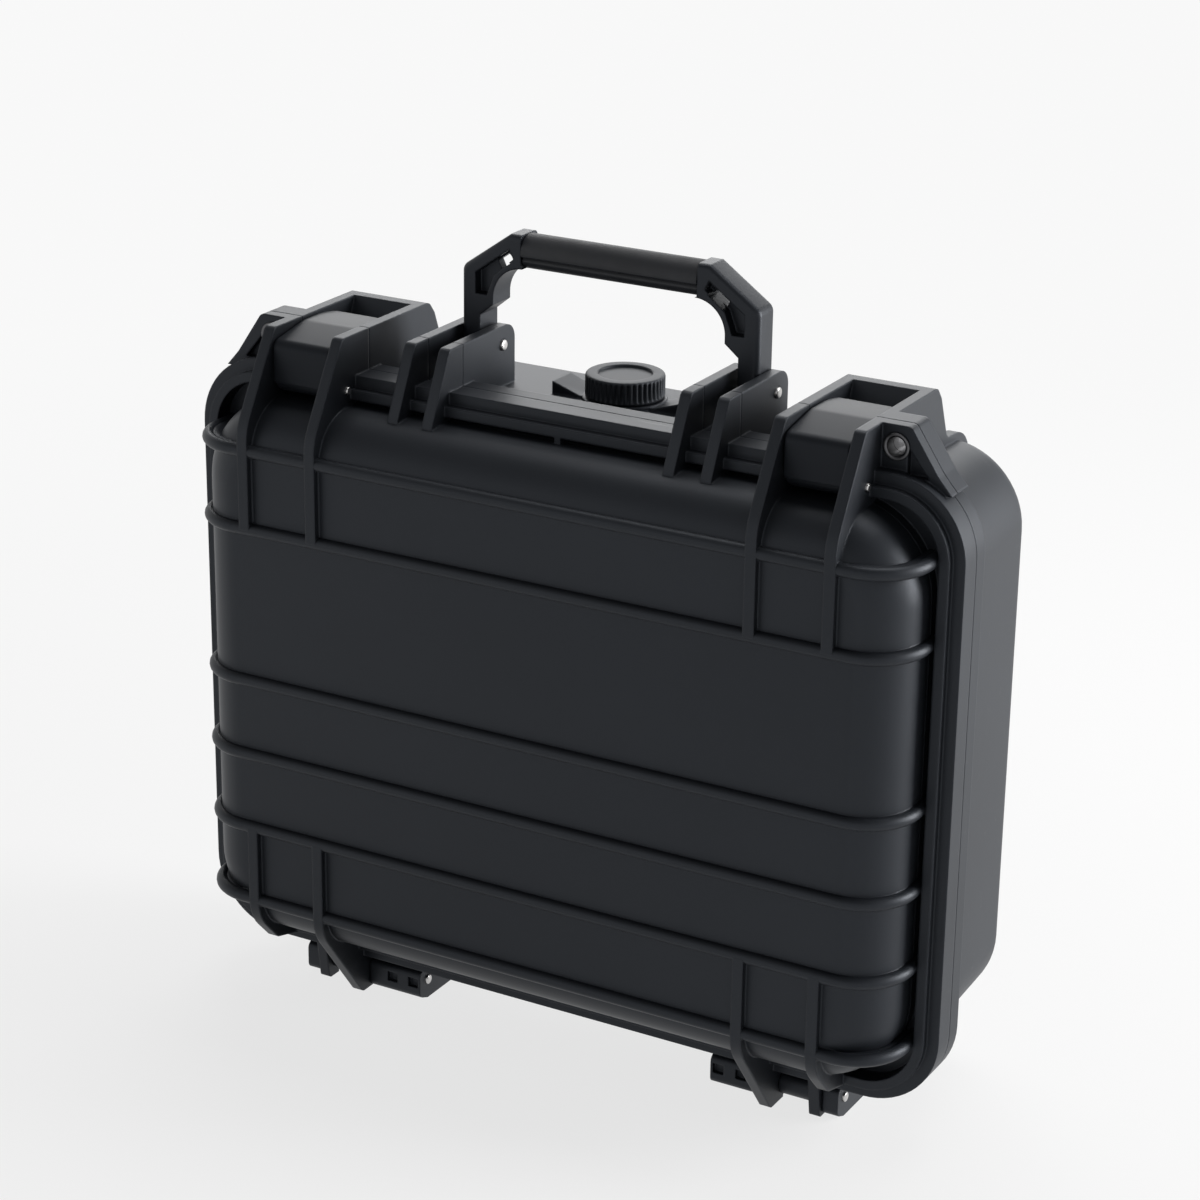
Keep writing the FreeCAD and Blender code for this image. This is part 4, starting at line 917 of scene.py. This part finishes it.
@dataclass
class Seals:
    """The lid's gasket and the valve's ring."""

    gasket_half_width: float = 0.0024
    gasket_half_depth: float = 0.0012
    gasket_bend: float = 0.0221
    gasket_bend_points: int = 12
    ring_radius: float = 0.00095
    ring_bend_share: float = 0.9999
    ring_bend_points: int = 18
    round_points: int = 16

    def gasket(self) -> bpy.types.Mesh:
        """Makes the rubber bead in the lid's groove.

        Returns:
            Its mesh.
        """
        low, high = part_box("lid_gasket")
        inset = self.gasket_half_width
        depth = (low.y + high.y) / 2.0
        corners = [(low.x + inset, low.z + inset), (high.x - inset, low.z + inset),
                   (high.x - inset, high.z - inset), (low.x + inset, high.z - inset)]
        line = line_mesh("gasket_line", [(x, depth, z) for x, z in corners], closed=True)
        return grown_mesh("gasket_bead", line, bar_tree(), Finish.SEAL,
                          Bar_Radius=self.gasket_half_width,
                          Flatness=self.gasket_half_depth / self.gasket_half_width,
                          Bend_Radius=self.gasket_bend, Bend_Points=self.gasket_bend_points,
                          Round_Points=self.round_points)

    def ring(self) -> bpy.types.Mesh:
        """Makes the ring under the valve's collar.

        Returns:
            Its mesh.
        """
        low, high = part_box("purge_valve_oring")
        middle = (low + high) / 2.0
        reach = (high.x - low.x) / 2.0 - self.ring_radius
        corners = [(middle.x + reach * x, middle.y + reach * y, middle.z)
                   for x, y in ((-1, -1), (1, -1), (1, 1), (-1, 1))]
        line = line_mesh("ring_line", corners, closed=True)
        return grown_mesh("valve_ring", line, bar_tree(), Finish.SEAL,
                          Bar_Radius=self.ring_radius,
                          Bend_Radius=reach * self.ring_bend_share,
                          Bend_Points=self.ring_bend_points, Round_Points=self.round_points)

    def build(self) -> None:
        """Makes both seals in the places of their solids."""
        add_piece("gasket_bead", self.gasket(), Finish.SEAL, "seal_rubber", "lid",
                  "lid_gasket")
        add_piece("valve_ring", self.ring(), Finish.SEAL, "seal_rubber", "base",
                  "purge_valve_oring")


@dataclass
class PurgeValve:
    """The pressure valve on top, with its fluted knob."""

    flutes: int = 44
    flute_depth: float = 0.0008
    flute_sharpness: float = 1.6
    flute_run_out: float = 0.0009
    flute_start: float = 0.1
    flute_end: float = 0.3
    flute_inset: float = 1.05
    side_shares: tuple[float, ...] = (0.12, 0.18, 0.5, 0.76, 0.82)
    edge_radius: float = 0.0011
    edge_steps: int = 5
    skirt_radius: float = 0.0006
    dial_radius: float = 0.0105
    dial_depth: float = 0.001
    dial_softness: float = 0.0004
    collar_reach: float = 0.0113
    collar_room: float = 0.0032
    post_reach: float = 0.00402
    post_room: float = 0.0062
    crease: float = 40.0
    steps: int = 528

    def knob_outline(self, radius: float, height: float) -> list[Point]:
        """Draws the knob's half outline, from the hollow over the post to the dial.

        Args:
            radius: the knob's radius.
            height: its height.

        Returns:
            Corners as (radius, height).
        """
        quarter = quarter_turn(self.edge_steps)
        skirt = [(radius - self.skirt_radius * (1.0 - math.sin(t)),
                  self.skirt_radius * (1.0 - math.cos(t))) for t in quarter]
        side = [(radius, height * share) for share in self.side_shares]
        crown = [(radius - self.edge_radius * (1.0 - math.cos(t)),
                  height - self.edge_radius * (1.0 - math.sin(t))) for t in quarter]
        lip = [(self.dial_radius + self.dial_softness * (1.0 - math.sin(t)),
                height - self.dial_softness * (1.0 - math.cos(t))) for t in quarter]
        floor = height - self.dial_depth
        hollow = [(0.0, self.post_room), (self.post_reach, self.post_room),
                  (self.post_reach, self.collar_room), (self.collar_reach, self.collar_room),
                  (self.collar_reach, 0.0)]
        return [*hollow, *skirt, *side, *crown, *lip, (self.dial_radius, floor), (0.0, floor)]

    def knob(self) -> bpy.types.Mesh:
        """Makes the knob with flutes pressed into its side.

        Returns:
            Its mesh.
        """
        low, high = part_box("purge_valve_knob")
        middle = (low + high) / 2.0
        radius, height = (high.x - low.x) / 2.0, high.z - low.z
        blank = turned_mesh("knob_blank", self.knob_outline(radius, height),
                            Vector((middle.x, middle.y, low.z)), Vector((0.0, 0.0, 1.0)),
                            self.steps)
        return grown_mesh("purge_knob_fluted", blank, flute_tree(), Finish.VALVE,
                          Flutes=self.flutes, Depth=self.flute_depth,
                          Sharpness=self.flute_sharpness, Run_Out=self.flute_run_out,
                          Least_Radius=radius - self.edge_radius * self.flute_inset,
                          Axis_X=middle.x, Axis_Y=middle.y,
                          Low=low.z + height * self.flute_start,
                          High=high.z - self.edge_radius * self.flute_end)

    def build(self) -> None:
        """Dresses the valve's pieces and makes its knob again."""
        for node in ("purge_valve_body", "purge_valve_nut"):
            dress_node(node, Finish.VALVE)
        dress_node("purge_valve_membrane", Finish.FILM)
        mesh = self.knob()
        smooth_by_angle(mesh, self.crease)
        add_piece("purge_knob_fluted", mesh, Finish.VALVE, "valve_plastic", "purge_knob",
                  "purge_valve_knob")


# Studio


@dataclass(frozen=True)
class Lamp:
    """One soft box."""

    name: str
    place: Place
    aim: Place
    size: Point
    power: float

    def build(self) -> None:
        """Adds the lamp."""
        data = bpy.data.lights.new(self.name, "AREA")
        data.shape = "RECTANGLE"
        data.size, data.size_y = self.size
        data.energy = self.power
        lamp = bpy.data.objects.new(self.name, data)
        lamp.location = self.place
        away = Vector(self.place) - Vector(self.aim)
        lamp.rotation_euler = away.to_track_quat("Z", "Y").to_euler()
        bpy.context.scene.collection.objects.link(lamp)


def seen_rays(net: Wiring) -> bpy.types.NodeSocket:
    """Tells the rays from the camera, a gloss or a clear piece from the rest.

    Args:
        net: the tree's wiring.

    Returns:
        A value of 1 for those rays and 0 for the rest.
    """
    path = net.add("ShaderNodeLightPath").outputs
    bounced = net.math("MAXIMUM", path["Is Glossy Ray"], path["Is Transmission Ray"])
    return net.math("MAXIMUM", path["Is Camera Ray"], bounced)


@dataclass
class Studio:
    """Pale sweep under the case, a plain background and soft lamps."""

    pale: Colour = (0.94, 0.94, 0.94)
    floor_size: float = 6.0
    floor_cloud: float = 0.5
    floor_dark: Colour = (0.88, 0.88, 0.88)
    floor_light: Colour = (0.9, 0.9, 0.9)
    fill: float = 0.15
    dusk_low: float = 0.3
    dusk_high: float = 0.75
    zenith: float = 0.25
    glow_near: float = 0.3
    glow_far: float = 1.1
    least_glow: float = 0.8
    lamps: tuple[Lamp, ...] = (
        Lamp("top_rear_box", (-0.5, 1.25, 0.85), (0.0, 0.0, 0.25), (1.4, 0.7), 9.0),
        Lamp("right_rear_box", (1.35, 0.75, 0.45), (0.1, 0.0, 0.15), (0.7, 1.1), 35.0),
        Lamp("overhead_box", (0.0, 0.5, 1.7), (0.0, 0.1, 0.0), (1.3, 0.7), 12.0),
    )

    def floor_material(self) -> bpy.types.Material:
        """Makes the floor's material: matt near the case, and pale to the eye far from it.

        Returns:
            The material.
        """
        material, net = new_material("studio_floor")
        tone = net.ramp(net.noise(self.floor_cloud, detail=2.0), (0.3, self.floor_dark),
                        (0.7, self.floor_light))
        matt = net.add("ShaderNodeBsdfDiffuse", Color=tone)
        place = net.add("ShaderNodeTexCoord").outputs["Object"]
        reach = net.add("ShaderNodeVectorMath", {"operation": "LENGTH"}, i0=place)
        far = net.add("ShaderNodeMapRange", {"interpolation_type": "SMOOTHSTEP"},
                      Value=reach.outputs["Value"], From_Min=self.glow_near,
                      From_Max=self.glow_far, To_Min=self.least_glow)
        glow = net.add("ShaderNodeEmission", Color=(*self.pale, 1.0))
        share = net.math("MULTIPLY", far.outputs[0], seen_rays(net))
        mixed = net.add("ShaderNodeMixShader", i0=share, i1=matt.outputs[0],
                        i2=glow.outputs[0])
        net.add("ShaderNodeOutputMaterial", Surface=mixed.outputs[0])
        return material

    def world(self) -> None:
        """Sets a pale background that dims overhead, and a dim fill for the light."""
        world = bpy.data.worlds.new("studio_world")
        bpy.context.scene.world = world
        world.use_nodes = True
        net = Wiring(world.node_tree)
        ray = net.add("ShaderNodeSeparateXYZ",
                      Vector=net.add("ShaderNodeTexCoord").outputs["Generated"])
        seen = net.add("ShaderNodeMapRange", {"interpolation_type": "SMOOTHSTEP"},
                       Value=ray.outputs[2], From_Min=self.dusk_low,
                       From_Max=self.dusk_high, To_Min=1.0, To_Max=self.zenith)
        strength = net.add("ShaderNodeMapRange", Value=seen_rays(net),
                           To_Min=self.fill, To_Max=seen.outputs[0])
        sky = net.add("ShaderNodeBackground", Color=(*self.pale, 1.0),
                      Strength=strength.outputs[0])
        net.add("ShaderNodeOutputWorld", Surface=sky.outputs[0])

    def build(self) -> None:
        """Makes the floor, the background and the lamps."""
        half = self.floor_size / 2.0
        mesh = bpy.data.meshes.new("studio_floor")
        corners = [(half * x, half * y, 0.0) for x, y in ((-1, -1), (1, -1), (1, 1), (-1, 1))]
        mesh.from_pydata(corners, [], [(0, 1, 2, 3)])
        mesh.materials.append(self.floor_material())
        floor = bpy.data.objects.new("studio_floor", mesh)
        bpy.context.scene.collection.objects.link(floor)
        self.world()
        for lamp in self.lamps:
            lamp.build()


@dataclass
class PhotoCamera:
    """Camera at the photograph's place."""

    place: Place = (0.57027, -1.01878, 0.62597)
    azimuth: float = 29.18040201
    elevation: float = 20.77039928
    roll: float = -0.78501857
    lens: float = 96.36
    sensor_width: float = 36.0
    clip_near: float = 0.05
    clip_far: float = 50.0

    def build(self) -> None:
        """Adds the camera and makes it the scene's own."""
        turn, tilt, roll = (math.radians(a) for a in (self.azimuth, self.elevation, self.roll))
        ahead = Vector((-math.sin(turn) * math.cos(tilt), math.cos(turn) * math.cos(tilt),
                        -math.sin(tilt)))
        level = ahead.cross(Vector((0.0, 0.0, 1.0))).normalized()
        down = ahead.cross(level)
        right = level * math.cos(roll) + down * math.sin(roll)
        below = down * math.cos(roll) - level * math.sin(roll)
        data = bpy.data.cameras.new("photo_camera")
        data.lens = self.lens
        data.sensor_width = self.sensor_width
        data.clip_start, data.clip_end = self.clip_near, self.clip_far
        camera = bpy.data.objects.new("photo_camera", data)
        camera.matrix_world = Matrix.Translation(self.place) @ Matrix(
            (right, -below, -ahead)).transposed().to_4x4()
        bpy.context.scene.collection.objects.link(camera)
        bpy.context.scene.camera = camera


def main() -> None:
    """Builds the camera, the case and the studio in order."""
    logging.basicConfig(level=logging.INFO, format="%(name)s: %(message)s")
    bpy.context.scene.view_settings.view_transform = "Standard"
    PhotoCamera().build()
    for assembly in (Shells(), Levers(), CarryHandle(), Pins(), Eyelets(), Seals(),
                     PurgeValve()):
        LOG.info("building %s", type(assembly).__name__)
        assembly.build()
    Studio().build()


if __name__ == "__main__":
    main()
